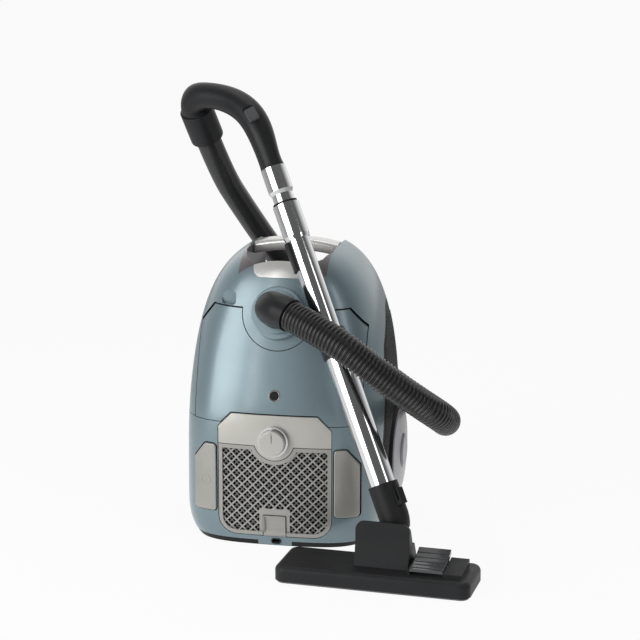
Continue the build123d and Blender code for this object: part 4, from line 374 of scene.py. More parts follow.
class DustFilm(Effect):
    """A thin film of dust on what faces upwards."""

    title = "dust_film"
    tint: Colour = (0.36, 0.34, 0.31)
    inputs = (
        ("Colour", "NodeSocketColor", (0.5, 0.5, 0.5, 1.0)),
        ("Amount", "NodeSocketFloat", 0.1),
    )
    outputs = (("Colour", "NodeSocketColor"), ("Mask", "NodeSocketFloat"))

    def wire(self, graph: Graph, given: bpy.types.Node, result: bpy.types.Node) -> None:
        """Let patchy dust settle by how far the surface faces up.

        Args:
            graph: the group's tree.
            given: the node with the group's inputs.
            result: the node with the group's outputs.
        """
        place = graph.add("ShaderNodeTexCoord").outputs["Object"]
        normal = graph.add("ShaderNodeNewGeometry").outputs["Normal"]
        upward = graph.add("ShaderNodeSeparateXYZ", {0: normal}).outputs["Z"]
        settled = graph.add(
            "ShaderNodeMapRange", {"Value": upward, "From Min": 0.1, "From Max": 1.0}
        )
        patches = graph.add("ShaderNodeTexNoise", {"Vector": place, "Scale": 60.0, "Detail": 5.0})
        thick = graph.math("MULTIPLY", settled.outputs[0], patches.outputs["Fac"])
        mask = graph.math("MULTIPLY", thick, given.outputs["Amount"], clamp=True)
        dusty = graph.mix(mask, given.outputs["Colour"], self.tint)
        graph.set(result.inputs["Colour"], dusty)
        graph.set(result.inputs["Mask"], mask)


class ZoneMask(Effect):
    """Marks the inside of a box, for a part of a piece that has another colour."""

    title = "zone_mask"
    inputs = (
        ("Centre", "NodeSocketVector", (0.0, 0.0, 0.0)),
        ("Half", "NodeSocketVector", (1.0, 1.0, 1.0)),
    )
    outputs = (("Mask", "NodeSocketFloat"),)

    def wire(self, graph: Graph, given: bpy.types.Node, result: bpy.types.Node) -> None:
        """Compare the place with the box on each axis.

        Args:
            graph: the group's tree.
            given: the node with the group's inputs.
            result: the node with the group's outputs.
        """
        place = graph.add("ShaderNodeTexCoord").outputs["Object"]
        apart = graph.add(
            "ShaderNodeVectorMath", {0: place, 1: given.outputs["Centre"]}, operation="SUBTRACT"
        )
        size = graph.add(
            "ShaderNodeVectorMath", {0: apart.outputs["Vector"]}, operation="ABSOLUTE"
        )
        reach = graph.add("ShaderNodeSeparateXYZ", {0: size.outputs["Vector"]})
        limit = graph.add("ShaderNodeSeparateXYZ", {0: given.outputs["Half"]})
        inside = None
        for axis in range(3):
            within = graph.math("LESS_THAN", reach.outputs[axis], limit.outputs[axis])
            inside = within if inside is None else graph.math("MULTIPLY", inside, within)
        graph.set(result.inputs["Mask"], inside)


@dataclass(frozen=True)
class Zone:
    """A box inside which a finish has another colour."""

    low: Point
    high: Point
    colour: Colour

    def centre(self) -> Point:
        """Middle of the box."""
        return tuple((a + b) / 2.0 for a, b in zip(self.low, self.high))

    def half(self) -> Point:
        """Half of the box's size."""
        return tuple((b - a) / 2.0 for a, b in zip(self.low, self.high))


@dataclass(frozen=True)
class Finish:
    """One finish: colours, gloss and fine structure of a surface."""

    title: str
    colour: Colour
    shade: Colour
    roughness: float
    texture: Texture = Texture.GRAIN
    metallic: float = 0.0
    spread: float = 0.06
    coat: float = 0.0
    coat_roughness: float = 0.1
    specular: float = 0.5
    scale: float = 900.0
    depth: float = 0.00004
    edge_radius: float = 0.0006
    # Sharp edges are mixed towards a lighter colour: partly edge wear, partly a painted highlight along
    # the edges.
    edge_highlight_and_wear: Colour = (0.5, 0.5, 0.5)
    edge_share: float = 0.15
    dust: float = 0.08
    dust_dulling: float = 0.3
    sparkle: float = 0.12
    way: Point = (0.0, 0.0, 1.0)
    zone: Optional[Zone] = None

    def structure(self, graph: Graph) -> bpy.types.Node:
        """Place the group of the finish's fine structure.

        Args:
            graph: the material's tree.

        Returns:
            A node with outputs Height and Tone.
        """
        if self.texture is Texture.FLAKE:
            return MetalFlake().place(
                graph, Colour=self.colour, Sparkle=self.sparkle, Scale=self.scale
            )
        if self.texture is Texture.DRAWN:
            return DrawnLines().place(graph, Way=self.way, Scale=self.scale)
        if self.texture is Texture.FLEECE:
            return Fleece().place(graph, Scale=self.scale)
        return MouldedGrain().place(graph, Scale=self.scale)

    def material(self) -> bpy.types.Material:
        """Build the finish's material on first use.

        Returns:
            The material.
        """
        made = bpy.data.materials.get(self.title)
        if made is not None:
            return made
        made = bpy.data.materials.new(self.title)
        made.use_nodes = True
        graph = Graph(made.node_tree)
        made.node_tree.nodes.clear()
        fine = self.structure(graph)
        ground = fine.outputs["Colour"] if self.texture is Texture.FLAKE else self.colour
        colour = ToneDrift().place(
            graph, Colour=ground, Shade=self.shade, Tone=fine.outputs["Tone"]
        ).outputs["Colour"]
        if self.zone is not None:
            mask = ZoneMask().place(graph, Centre=self.zone.centre(), Half=self.zone.half())
            colour = graph.mix(mask.outputs["Mask"], colour, self.zone.colour)
        # Lighter colour along sharp edges: partly wear, partly a painted edge highlight.
        edges = RoundedEdges().place(graph, Radius=self.edge_radius)
        highlight_and_wear = graph.math("MULTIPLY", edges.outputs["Edge"], self.edge_share)
        colour = graph.mix(highlight_and_wear, colour, self.edge_highlight_and_wear)
        film = DustFilm().place(graph, Colour=colour, Amount=self.dust)
        gloss = graph.add(
            "ShaderNodeMapRange",
            {
                "Value": fine.outputs["Tone"],
                "From Min": 0.25,
                "From Max": 0.75,
                "To Min": max(self.roughness - self.spread, 0.02),
                "To Max": self.roughness + self.spread,
            },
        )
        dull = graph.math(
            "MULTIPLY_ADD", film.outputs["Mask"], self.dust_dulling, gloss.outputs[0], clamp=True
        )
        bump = graph.add(
            "ShaderNodeBump",
            {
                "Height": fine.outputs["Height"],
                "Distance": self.depth,
                "Strength": 1.0,
                "Normal": edges.outputs["Normal"],
            },
        )
        shader = graph.add(
            "ShaderNodeBsdfPrincipled",
            {
                "Base Color": film.outputs["Colour"],
                "Roughness": dull,
                "Metallic": self.metallic,
                "Specular IOR Level": self.specular,
                "Coat Weight": self.coat,
                "Coat Roughness": self.coat_roughness,
                "Normal": bump.outputs["Normal"],
            },
        )
        out = graph.add("ShaderNodeOutputMaterial")
        graph.set(out.inputs["Surface"], shader.outputs["BSDF"])
        return made


WAND_WAY: Point = (-0.387888, 0.281792, 0.877574)
PROBE_Y = -0.3
FACING = 0.5
SQUARE = ((-1.0, -1.0), (1.0, -1.0), (1.0, 1.0), (-1.0, 1.0))

BLUE_LACQUER = Finish(
    "blue_lacquer", (0.2, 0.275, 0.305), (0.185, 0.255, 0.285), 0.36, Texture.FLAKE, metallic=0.42,
    spread=0.03, coat=0.6, coat_roughness=0.16, depth=0.000004, edge_radius=0.0009,
    edge_highlight_and_wear=(0.5, 0.6, 0.65), edge_share=0.3, dust=0.02, sparkle=0.16, scale=2200.0,
)
BLUE_LACQUER_GRIP = replace(
    BLUE_LACQUER,
    title="blue_lacquer_grip",
    zone=Zone((-0.0626, -0.0566, 0.3494), (0.0626, 0.112, 0.5), (0.15, 0.135, 0.142)),
)
SILVER_LACQUER = Finish(
    "silver_lacquer", (0.55, 0.54, 0.5), (0.5, 0.49, 0.45), 0.34, Texture.FLAKE, metallic=0.35,
    spread=0.03, coat=0.25, coat_roughness=0.15, depth=0.000004, edge_radius=0.0008,
    edge_highlight_and_wear=(0.8, 0.79, 0.76), edge_share=0.35, dust=0.03, sparkle=0.12, scale=2400.0,
)
# Painted shade: a darker copy of the silver lacquer for the pedals, the grille cover and its latch,
# which sit low and in shade.
SHADED_SILVER = replace(
    SILVER_LACQUER, title="shaded_silver", colour=(0.4, 0.395, 0.37), shade=(0.36, 0.355, 0.33),
    edge_highlight_and_wear=(0.7, 0.69, 0.66),
)
# Painted shade: a much darker copy of the silver lacquer for the fine lattice, which lies set back
# behind the grille cover.
LATTICE_SHADED_SILVER = replace(
    SILVER_LACQUER, title="lattice_shaded_silver", colour=(0.2, 0.198, 0.188), shade=(0.17, 0.168, 0.16),
    edge_share=0.1,
)
# Silver trim on the carry handle and grip lip, lightened past the silver lacquer: painted highlight on
# these upper parts.
LIT_TRIM_SILVER = replace(
    SILVER_LACQUER, title="lit_trim_silver", colour=(0.8, 0.795, 0.77), shade=(0.74, 0.735, 0.71),
    roughness=0.26, metallic=0.5,
)
BLACK_MOULDING = Finish(
    "black_moulding", (0.014, 0.0145, 0.016), (0.018, 0.0185, 0.02), 0.5, depth=0.00005,
    edge_highlight_and_wear=(0.1, 0.1, 0.105), edge_share=0.25, dust=0.02, scale=1100.0, specular=0.22,
)
BLACK_GRIP = Finish(
    "black_grip", (0.015, 0.0155, 0.017), (0.018, 0.0185, 0.02), 0.36, depth=0.00002,
    edge_highlight_and_wear=(0.08, 0.08, 0.085), edge_share=0.25, dust=0.01, scale=1300.0, specular=0.24,
)
HEAD_MOULDING = Finish(
    "head_moulding", (0.019, 0.0197, 0.0212), (0.023, 0.0237, 0.0252), 0.46, depth=0.00006,
    edge_radius=0.0012, edge_highlight_and_wear=(0.1, 0.1, 0.105), edge_share=0.25, dust=0.012, scale=1000.0,
    specular=0.22,
)
SLIDER_GREY = Finish(
    "slider_grey", (0.06, 0.062, 0.066), (0.07, 0.072, 0.076), 0.4, depth=0.00003,
    edge_highlight_and_wear=(0.2, 0.2, 0.21), edge_share=0.3, scale=1200.0,
)
PEDAL_GLOSS = Finish(
    "pedal_gloss", (0.06, 0.062, 0.067), (0.05, 0.052, 0.057), 0.18, depth=0.00001,
    coat=0.4, coat_roughness=0.08, edge_highlight_and_wear=(0.3, 0.3, 0.31), edge_share=0.4, scale=1200.0,
)
# Painted shade: the chrome is made far darker than real chrome, so that the white surroundings it
# mirrors come out as a dark studio grey.
DARKENED_CHROME = Finish(
    "chrome_tube", (0.3, 0.3, 0.31), (0.27, 0.27, 0.285), 0.09, Texture.DRAWN, metallic=1.0,
    spread=0.03, depth=0.000003, edge_highlight_and_wear=(0.8, 0.8, 0.82), edge_share=0.2, dust=0.0,
    scale=1400.0, way=WAND_WAY,
)
BRIGHT_TRIM = replace(
    DARKENED_CHROME, title="bright_trim", colour=(0.72, 0.72, 0.72), shade=(0.66, 0.66, 0.66), roughness=0.14,
)
STEEL = replace(
    DARKENED_CHROME, title="turned_steel", colour=(0.55, 0.55, 0.56), shade=(0.48, 0.48, 0.49), roughness=0.3,
    way=(1.0, 0.0, 0.0), depth=0.00001,
)
HOSE_BLACK = Finish(
    "hose_black", (0.006, 0.006, 0.0065), (0.008, 0.008, 0.0085), 0.3, depth=0.00001,
    edge_radius=0.0004, edge_highlight_and_wear=(0.04, 0.04, 0.04), edge_share=0.05, dust=0.004, scale=900.0,
    specular=0.14,
)
WHEEL_GREY = Finish(
    "wheel_grey", (0.165, 0.168, 0.19), (0.145, 0.148, 0.17), 0.34, depth=0.000006,
    coat=0.15, coat_roughness=0.06, edge_highlight_and_wear=(0.6, 0.6, 0.63), edge_share=0.3, dust=0.04,
)
RUBBER = Finish(
    "soft_rubber", (0.02, 0.02, 0.021), (0.027, 0.026, 0.026), 0.7, depth=0.00008,
    edge_highlight_and_wear=(0.07, 0.07, 0.07), edge_share=0.3, dust=0.15, scale=700.0, specular=0.3,
)
GREY_MOULDING = Finish(
    "grey_moulding", (0.2, 0.2, 0.21), (0.17, 0.17, 0.18), 0.5, depth=0.00005,
    edge_highlight_and_wear=(0.35, 0.35, 0.36), edge_share=0.3,
)
WINDOW = Finish(
    "dark_window", (0.012, 0.016, 0.016), (0.016, 0.02, 0.02), 0.1, depth=0.000002,
    coat=1.0, coat_roughness=0.03, edge_highlight_and_wear=(0.1, 0.11, 0.11), dust=0.02,
)
BAG_FLEECE = Finish(
    "bag_fleece", (0.6, 0.53, 0.4), (0.5, 0.43, 0.32), 0.9, Texture.FLEECE, depth=0.0003,
    edge_share=0.0, dust=0.2, scale=420.0, specular=0.2,
)
CARBON_FLEECE = Finish(
    "carbon_fleece", (0.012, 0.012, 0.012), (0.02, 0.02, 0.02), 0.95, Texture.FLEECE, depth=0.0003,
    edge_share=0.0, dust=0.05, scale=520.0, specular=0.1,
)
WHITE_FLEECE = Finish(
    "white_fleece", (0.74, 0.74, 0.72), (0.66, 0.66, 0.63), 0.9, Texture.FLEECE, depth=0.0003,
    edge_share=0.0, dust=0.2, scale=520.0, specular=0.2,
)
BOARD_GREEN = Finish(
    "board_green", (0.04, 0.2, 0.09), (0.03, 0.16, 0.07), 0.35, coat=0.3,
    edge_highlight_and_wear=(0.5, 0.45, 0.3), edge_share=0.4,
)
MOTOR_ALLOY = replace(
    STEEL, title="motor_alloy", colour=(0.6, 0.6, 0.6), shade=(0.52, 0.52, 0.53), roughness=0.42,
    way=(0.0, 0.0, 1.0),
)
BRISTLE = Finish(
    "bristle_black", (0.018, 0.018, 0.018), (0.03, 0.03, 0.03), 0.5, depth=0.00002, edge_share=0.0,
)


def dress(finish: Finish, *nodes: str) -> None:
    """Give solids their finish.

    Args:
        finish: the finish.
        nodes: the solids' names.
    """
    for name in nodes:
        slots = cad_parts[name].data.materials
        slots.clear()
        slots.append(finish.material())
        LOG.info("%s: %s", name, finish.title)


def probe(node: str, start: Sequence[float], way: Sequence[float]) -> Optional[tuple[Vector, Vector]]:
    """Find the place and the normal where a ray first meets a solid, or None if it misses."""
    hit, place, normal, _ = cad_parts[node].ray_cast(Vector(start), Vector(way))
    return (place, normal) if hit else None


def probe_front(node: str, x: float, z: float) -> Optional[tuple[Vector, Vector]]:
    """Find the place and the normal on a solid's front, or None where it has none."""
    return probe(node, (x, PROBE_Y, z), (0.0, 1.0, 0.0))


class MeshMaker:
    """Gathers the vertices and faces of one piece."""

    taper: float = 0.72

    def __init__(self, name: str) -> None:
        """Start an empty piece.

        Args:
            name: the piece's name.
        """
        self.name = name
        self.vertices: list[Vector] = []
        self.faces: list[tuple[int, ...]] = []

    def ring(self, points: Iterable[Vector]) -> list[int]:
        """Add points to the piece.

        Args:
            points: the points.

        Returns:
            Their numbers.
        """
        first = len(self.vertices)
        self.vertices.extend(points)
        return list(range(first, len(self.vertices)))

    def skin(self, rings: Sequence[list[int]], closed: bool = False, capped: bool = True) -> None:
        """Join rings of equal count with faces.

        Args:
            rings: the rings in order.
            closed: whether the last ring joins the first.
            capped: whether open ends get a face.
        """
        count = len(rings[0])
        pairs = list(zip(rings, rings[1:]))
        if closed:
            pairs.append((rings[-1], rings[0]))
        for before, after in pairs:
            for k in range(count):
                n = (k + 1) % count
                self.faces.append((before[k], before[n], after[n], after[k]))
        if capped and not closed:
            self.faces.append(tuple(reversed(rings[0])))
            self.faces.append(tuple(rings[-1]))

    def bar(
        self,
        path: Sequence[Vector],
        outs: Sequence[Vector],
        half_width: float,
        rise: float,
        sink: float,
        closed: bool = False,
    ) -> None:
        """Add a bar with a slightly tapered section along a path.

        Args:
            path: points on the surface that carries it.
            outs: the surface's normals at those points.
            half_width: half of the bar's width at its foot.
            rise: how far it stands out.
            sink: how far its foot lies in the surface.
            closed: whether the path is a loop.
        """
        rings = []
        count = len(path)
        for k, (point, out) in enumerate(zip(path, outs)):
            before = path[k - 1] if k or closed else point
            after = path[(k + 1) % count] if k + 1 < count or closed else point
            side = (after - before).cross(out).normalized() * half_width
            foot = point - out * sink
            top = point + out * rise
            rings.append(
                self.ring(
                    (
                        foot - side,
                        foot + side,
                        top + side * self.taper,
                        top - side * self.taper,
                    )
                )
            )
        self.skin(rings, closed=closed)

    def tube(self, path: Sequence[Vector], radii: Sequence[float], sides: int) -> None:
        """Add a round tube along a path, carried along it without twist.

        Args:
            path: points of its centreline.
            radii: its radius at each point.
            sides: how many sides it has.
        """
        rings = []
        way = (path[1] - path[0]).normalized()
        across = way.orthogonal().normalized()
        for k, point in enumerate(path):
            after = path[min(k + 1, len(path) - 1)]
            before = path[max(k - 1, 0)]
            way = (after - before).normalized()
            across = (across - way * across.dot(way)).normalized()
            up = way.cross(across)
            turn = [2.0 * math.pi * s / sides for s in range(sides)]
            rings.append(
                self.ring(
                    point + (across * math.cos(a) + up * math.sin(a)) * radii[k] for a in turn
                )
            )
        self.skin(rings)

    def make(self, finish: Finish, sharp: float = 35.0) -> bpy.types.Object:
        """Make the piece.

        Args:
            finish: its finish.
            sharp: the angle in degrees past which an edge shows as an edge.

        Returns:
            The new object, which rides on nothing yet.
        """
        mesh = bpy.data.meshes.new(self.name)
        mesh.from_pydata([tuple(v) for v in self.vertices], [], self.faces)
        mesh.validate()
        mesh.polygons.foreach_set("use_smooth", [True] * len(mesh.polygons))
        mesh.set_sharp_from_angle(angle=math.radians(sharp))
        mesh.materials.append(finish.material())
        piece = bpy.data.objects.new(self.name, mesh)
        bpy.context.scene.collection.objects.link(piece)
        LOG.info("%s: %d faces", self.name, len(mesh.polygons))
        return piece


@dataclass
class Casing:
    """The canister's casings, lid, panel and trim."""

    rib_low: float = 0.066
    rib_high: float = 0.304
    rib_pitch: float = 0.0042
    rib_half_width: float = 0.0011
    rib_rise: float = 0.0008
    rib_sink: float = 0.0006
    rib_step: float = 0.006
    rib_margin: float = 0.008
    rib_back: float = 0.092
    rib_facing: float = 0.2
    beside: float = 0.3
    knob_z: float = 0.1535
    pointer_length: float = 0.0115
    pointer_half_width: float = 0.0005
    pointer_rise: float = 0.00015
    pointer_sink: float = 0.0003
    well_centre: tuple[float, float] = (0.06, 0.1)
    well_reach: float = 0.078
    parting: tuple[tuple[float, float], ...] = (
        (0.0, -0.046),
        (0.12, -0.046),
        (0.268, -0.008),
        (0.317, 0.049),
    )

    def dress(self) -> None:
        """Give the casing's solids their finishes."""
        dress(BLUE_LACQUER, "rear_cowl", "dust_lid", "inlet_ring")
        dress(BLUE_LACQUER_GRIP, "upper_shell")
        dress(SILVER_LACQUER, "control_panel", "power_knob")
        dress(SHADED_SILVER, "exhaust_grille", "grille_latch", "rewind_pedal", "power_pedal")
        dress(LIT_TRIM_SILVER, "carry_handle", "grip_lip")
        dress(BLACK_MOULDING, "base_shell")
        dress(BRIGHT_TRIM, "knob_ring", "indicator_ring")
        dress(WINDOW, "indicator_window")
        dress(RUBBER, "cord_outlet", "lid_seal")
        dress(STEEL, "lid_hinge_pins", "casing_screws")

    def parting_y(self, z: float) -> float:
        """Where the parting line between the casings runs at a height."""
        heights, places = zip(*self.parting)
        return float(np.interp(z, heights, places))

    def rib_path(self, side: Side, z: float) -> list[tuple[Vector, Vector]]:
        """Places and normals along one rib.

        Args:
            side: the side of the cleaner.
            z: the rib's height.

        Returns:
            The rib's points, from the parting line backwards.
        """
        back = self.rib_back
        well_y, well_z = self.well_centre
        if abs(z - well_z) < self.well_reach:
            back = min(back, well_y - math.sqrt(self.well_reach**2 - (z - well_z) ** 2))
        found = []
        y = self.parting_y(z) + self.rib_margin
        while y <= back:
            hit = probe("base_shell", (side.value * self.beside, y, z), (-side.value, 0.0, 0.0))
            if hit is not None and hit[1].x * side.value > self.rib_facing:
                found.append(hit)
            y += self.rib_step
        return found

    def side_ribs(self) -> None:
        """Make the fine ribs on the sides of the black casing."""
        maker = MeshMaker("side_ribs")
        for side in Side:
            z = self.rib_low
            while z <= self.rib_high:
                path = self.rib_path(side, z)
                if len(path) > 2:
                    points, outs = zip(*path)
                    maker.bar(points, outs, self.rib_half_width, self.rib_rise, self.rib_sink)
                z += self.rib_pitch
        ribs = maker.make(BLACK_MOULDING)
        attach(ribs, "canister")

    def knob_pointer(self) -> None:
        """Make the pointer line on the face of the suction knob."""
        hits = [
            probe_front("power_knob", 0.0, self.knob_z + self.pointer_length * share)
            for share in (0.0, 0.25, 0.5, 0.75, 1.0)
        ]
        points, outs = zip(*[hit for hit in hits if hit is not None])
        maker = MeshMaker("knob_pointer")
        maker.bar(
            points, outs, self.pointer_half_width, self.pointer_rise, self.pointer_sink
        )
        pointer = maker.make(GREY_MOULDING)
        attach(pointer, "suction_knob")

    def build(self) -> None:
        """Dress the casing and add its ribs and the knob's pointer."""
        self.dress()
        self.side_ribs()
        self.knob_pointer()


@dataclass
class ExhaustGrille:
    """The fine second lattice and the filter behind the exhaust cover."""

    pitch: float = 0.011
    half_width: float = 0.0008
    lift: float = 0.0011
    step: float = 0.003
    centre_z: float = 0.0795
    reach: float = 0.12
    pleat_pitch: float = 0.006
    pleat_depth: float = 0.003
    filter_lift: float = 0.0002
    pad_rows: int = 24
    pad_inset: float = 0.001
    pad_least: float = 0.001

    def lattice_runs(self) -> Iterable[list[Vector]]:
        """Find the unbroken runs of the fine lattice's bars, on the front of the filter.

        Returns:
            The runs one after another, each a list of points.
        """
        count = int(self.reach / self.pitch) + 1
        root = math.sqrt(0.5)
        for slope in (1.0, -1.0):
            for row in range(-count, count + 1):
                run: list[Vector] = []
                along = -self.reach
                while along <= self.reach:
                    x = (along + row * self.pitch) * root
                    z = self.centre_z + slope * (along - row * self.pitch) * root
                    hit = probe_front("exhaust_filter", x, z)
                    front = hit is not None and hit[1].y < -FACING
                    if front:
                        run.append(hit[0])
                    if (not front or along + self.step > self.reach) and run:
                        yield run
                        run = []
                    along += self.step

    def fine_lattice(self) -> None:
        """Make the thin bars that halve each opening of the cover."""
        maker = MeshMaker("fine_lattice")
        out = Vector((0.0, -1.0, 0.0))
        for run in self.lattice_runs():
            if len(run) > 2:
                maker.bar(run, [out] * len(run), self.half_width, self.lift, 0.0)
        lattice = maker.make(LATTICE_SHADED_SILVER)
        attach(lattice, "grille")

    def pleated_pad(self) -> None:
        """Make the pleated filter that lies behind the cover."""
        low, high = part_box("exhaust_filter")
        maker = MeshMaker("pleated_exhaust_filter")
        columns = int((high.x - low.x) / (self.pleat_pitch / 2.0))
        rows = self.pad_rows
        span = 1.0 - 2.0 * self.pad_inset
        grid: dict[tuple[int, int], tuple[int, int]] = {}
        for i in range(columns + 1):
            x = low.x + (high.x - low.x) * (self.pad_inset + span * i / columns)
            for j in range(rows + 1):
                z = low.z + (high.z - low.z) * (self.pad_inset + span * j / rows)
                hit = probe_front("exhaust_filter", x, z)
                if hit is None:
                    continue
                pleat = self.pleat_depth if i % 2 else 0.0
                front = hit[0].y + self.filter_lift + pleat
                back = max(high.y - self.pleat_depth + pleat, front + self.pad_least)
                pair = maker.ring((Vector((x, front, z)), Vector((x, back, z))))
                grid[(i, j)] = (pair[0], pair[1])
        for i in range(columns):
            for j in range(rows):
                corners = [(i, j), (i + 1, j), (i + 1, j + 1), (i, j + 1)]
                if all(c in grid for c in corners):
                    self.pad_cell(maker, grid, corners, i, j)
        pad = maker.make(CARBON_FLEECE)
        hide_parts("exhaust_filter")
        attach(pad, "grille")

    def pad_cell(
        self,
        maker: MeshMaker,
        grid: Mapping[tuple[int, int], tuple[int, int]],
        corners: Sequence[tuple[int, int]],
        i: int,
        j: int,
    ) -> None:
        """Add one cell of the pad, with walls where the pad ends.

        Args:
            maker: the piece.
            grid: the front and back point of each corner.
            corners: the cell's corners.
            i: its column.
            j: its row.
        """
        maker.faces.append(tuple(grid[c][0] for c in corners))
        maker.faces.append(tuple(grid[c][1] for c in reversed(corners)))
        beside = ((i, j - 1), (i + 1, j), (i, j + 1), (i - 1, j))
        for k, (column, row) in enumerate(beside):
            there = [(column, row), (column + 1, row), (column + 1, row + 1), (column, row + 1)]
            if all(c in grid for c in there):
                continue
            a, b = corners[k], corners[(k + 1) % 4]
            maker.faces.append((grid[b][0], grid[a][0], grid[a][1], grid[b][1]))

    def build(self) -> None:
        """Make the fine lattice and the filter."""
        self.fine_lattice()
        self.pleated_pad()


@dataclass
class PedalSign:
    """The faint round sign moulded on each side pedal."""

    centre_x: float = 0.099
    centre_z: float = 0.09
    radius: float = 0.0068
    half_width: float = 0.0004
    rise: float = 0.00025
    sink: float = 0.0002
    points: int = 40
    bar_half: float = 0.0032

    def sign(self, name: str, node: str, body: str, side: Side) -> None:
        """Make one sign: a ring and an upright bar.

        Args:
            name: the piece's name.
            node: the pedal.
            body: the body that carries it.
            side: the side of the cleaner.
        """
        maker = MeshMaker(name)
        middle = side.value * self.centre_x
        turns = [2.0 * math.pi * k / self.points for k in range(self.points)]
        ring = [
            probe_front(
                node,
                middle + self.radius * math.cos(turn),
                self.centre_z + self.radius * math.sin(turn),
            )
            for turn in turns
        ]
        bar = [
            probe_front(node, middle, self.centre_z + self.bar_half * share)
            for share in (-1.0, -0.5, 0.0, 0.5, 1.0)
        ]
        for hits, closed in ((ring, True), (bar, False)):
            points, outs = zip(*[hit for hit in hits if hit is not None])
            maker.bar(points, outs, self.half_width, self.rise, self.sink, closed=closed)
        made = maker.make(SHADED_SILVER)
        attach(made, body)

    def build(self) -> None:
        """Make the signs of both pedals."""
        self.sign("rewind_sign", "rewind_pedal", "rewind_key", Side.LEFT)
        self.sign("power_sign", "power_pedal", "power_key", Side.RIGHT)


@dataclass
class RunningGear:
    """The two rear wheels and the castor."""

    def build(self) -> None:
        """Give the wheels their finishes."""
        dress(WHEEL_GREY, "wheel_left", "wheel_right", "hub_cap_left", "hub_cap_right")
        dress(RUBBER, "tyre_left", "tyre_right")
        dress(BLACK_MOULDING, "caster_fork")
        dress(GREY_MOULDING, "caster_wheel")
        dress(STEEL, "wheel_axles", "caster_axle")


@dataclass
class Hose:
    """The ribbed suction hose between the inlet and the handle."""

    diameter: float = 0.042
    root_radius: float = 0.0186
    sleeve_radius: float = 0.018
    ribs: int = 200
    smooth_ribs: int = 52
    rib_shape: tuple[tuple[float, float], ...] = (
        (0.0, 0.0),
        (0.1, 0.28),
        (0.2, 0.78),
        (0.3, 0.97),
        (0.45, 1.0),
        (0.6, 0.97),
        (0.7, 0.78),
        (0.8, 0.28),
        (0.9, 0.0),
    )
    sides: int = 30
    sharp_angle: float = 80.0
    line_steps: int = 48
    front_ribs: int = 48
    bend_end: Point = (0.2010, -0.1850, 0.3427)
    route: tuple[Point, ...] = (
        (0.0336, -0.1555, 0.3427),
        (0.0970, -0.1876, 0.3224),
        (0.1500, -0.1900, 0.2840),
        (0.1980, -0.1810, 0.2480),
        (0.2380, -0.1500, 0.2120),
        (0.2360, -0.0750, 0.1840),
        (0.2140, 0.0200, 0.1620),
        (0.1860, 0.1120, 0.1500),
        (0.1240, 0.1740, 0.1650),
        (0.0400, 0.1930, 0.2250),
        (-0.0270, 0.1990, 0.3050),
        (-0.0720, 0.1800, 0.3720),
        (-0.1050, 0.1400, 0.4400),
        (-0.1250, 0.1049, 0.4898),
        (-0.1380, 0.0620, 0.5560),
    )

    def centreline(self) -> np.ndarray:
        """Work out the smooth line that the route's points control.

        Returns:
            Points along the line, one in each row.
        """
        curve = bpy.data.curves.new("hose_line", "CURVE")
        curve.dimensions = "3D"
        spline = curve.splines.new("NURBS")
        spline.points.add(len(self.route) - 1)
        for point, place in zip(spline.points, self.route):
            point.co = (*place, 1.0)
        spline.order_u = 3
        spline.use_endpoint_u = True
        spline.resolution_u = self.line_steps
        holder = bpy.data.objects.new("hose_line", curve)
        bpy.context.scene.collection.objects.link(holder)
        line = bpy.data.meshes.new_from_object(holder)
        places = np.array([v.co for v in line.vertices], float)
        bpy.data.objects.remove(holder)
        bpy.data.curves.remove(curve)
        bpy.data.meshes.remove(line)
        return places

    def profile(self, pitch: float) -> list[tuple[float, float]]:
        """Radii along the hose: ribs, then the smooth sleeve before the handle.

        Args:
            pitch: the distance between ribs.

        Returns:
            Pairs of a distance along the hose and the radius there.
        """
        ribbed = self.ribs - self.smooth_ribs
        crest = self.diameter / 2.0 - self.root_radius
        places = [
            ((rib + share) * pitch, self.root_radius + crest * high)
            for rib in range(ribbed)
            for share, high in self.rib_shape
        ]
        for half in range(2 * ribbed, 2 * self.ribs + 1):
            places.append((half * pitch / 2.0, self.sleeve_radius))
        return places

    def stretch(
        self,
        name: str,
        places: Sequence[tuple[float, float]],
        along: np.ndarray,
        line: np.ndarray,
    ) -> bpy.types.Object:
        """Make one stretch of the hose.

        Args:
            name: the stretch's name.
            places: pairs of a distance along the hose and the radius there.
            along: the distance along the hose of each point of the centreline.
            line: points of the centreline.

        Returns:
            The new object, which rides on nothing yet.
        """
        path = [
            Vector([float(np.interp(s, along, line[:, axis])) for axis in range(3)])
            for s, _ in places
        ]
        maker = MeshMaker(name)
        maker.tube(path, [radius for _, radius in places], self.sides)
        piece = maker.make(HOSE_BLACK, self.sharp_angle)
        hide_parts("hose")
        return piece

    def build(self) -> None:
        """Make the front stretch, which rides on nothing, and the rest, which goes with the wand."""
        line = self.centreline()
        runs = np.linalg.norm(np.diff(line, axis=0), axis=1)
        along = np.concatenate(([0.0], np.cumsum(runs)))
        length = float(along[-1])
        places = self.profile(length / self.ribs)
        split = self.front_ribs * len(self.rib_shape)
        front = self.stretch("hose_front", places[: split + 1], along, line)
        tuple(self.route[0])
        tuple(self.bend_end)
        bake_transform(front)
        rear = self.stretch("hose_rear", places[split:], along, line)
        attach(rear, "wand")
        LOG.info("hose length %.3f m", length)


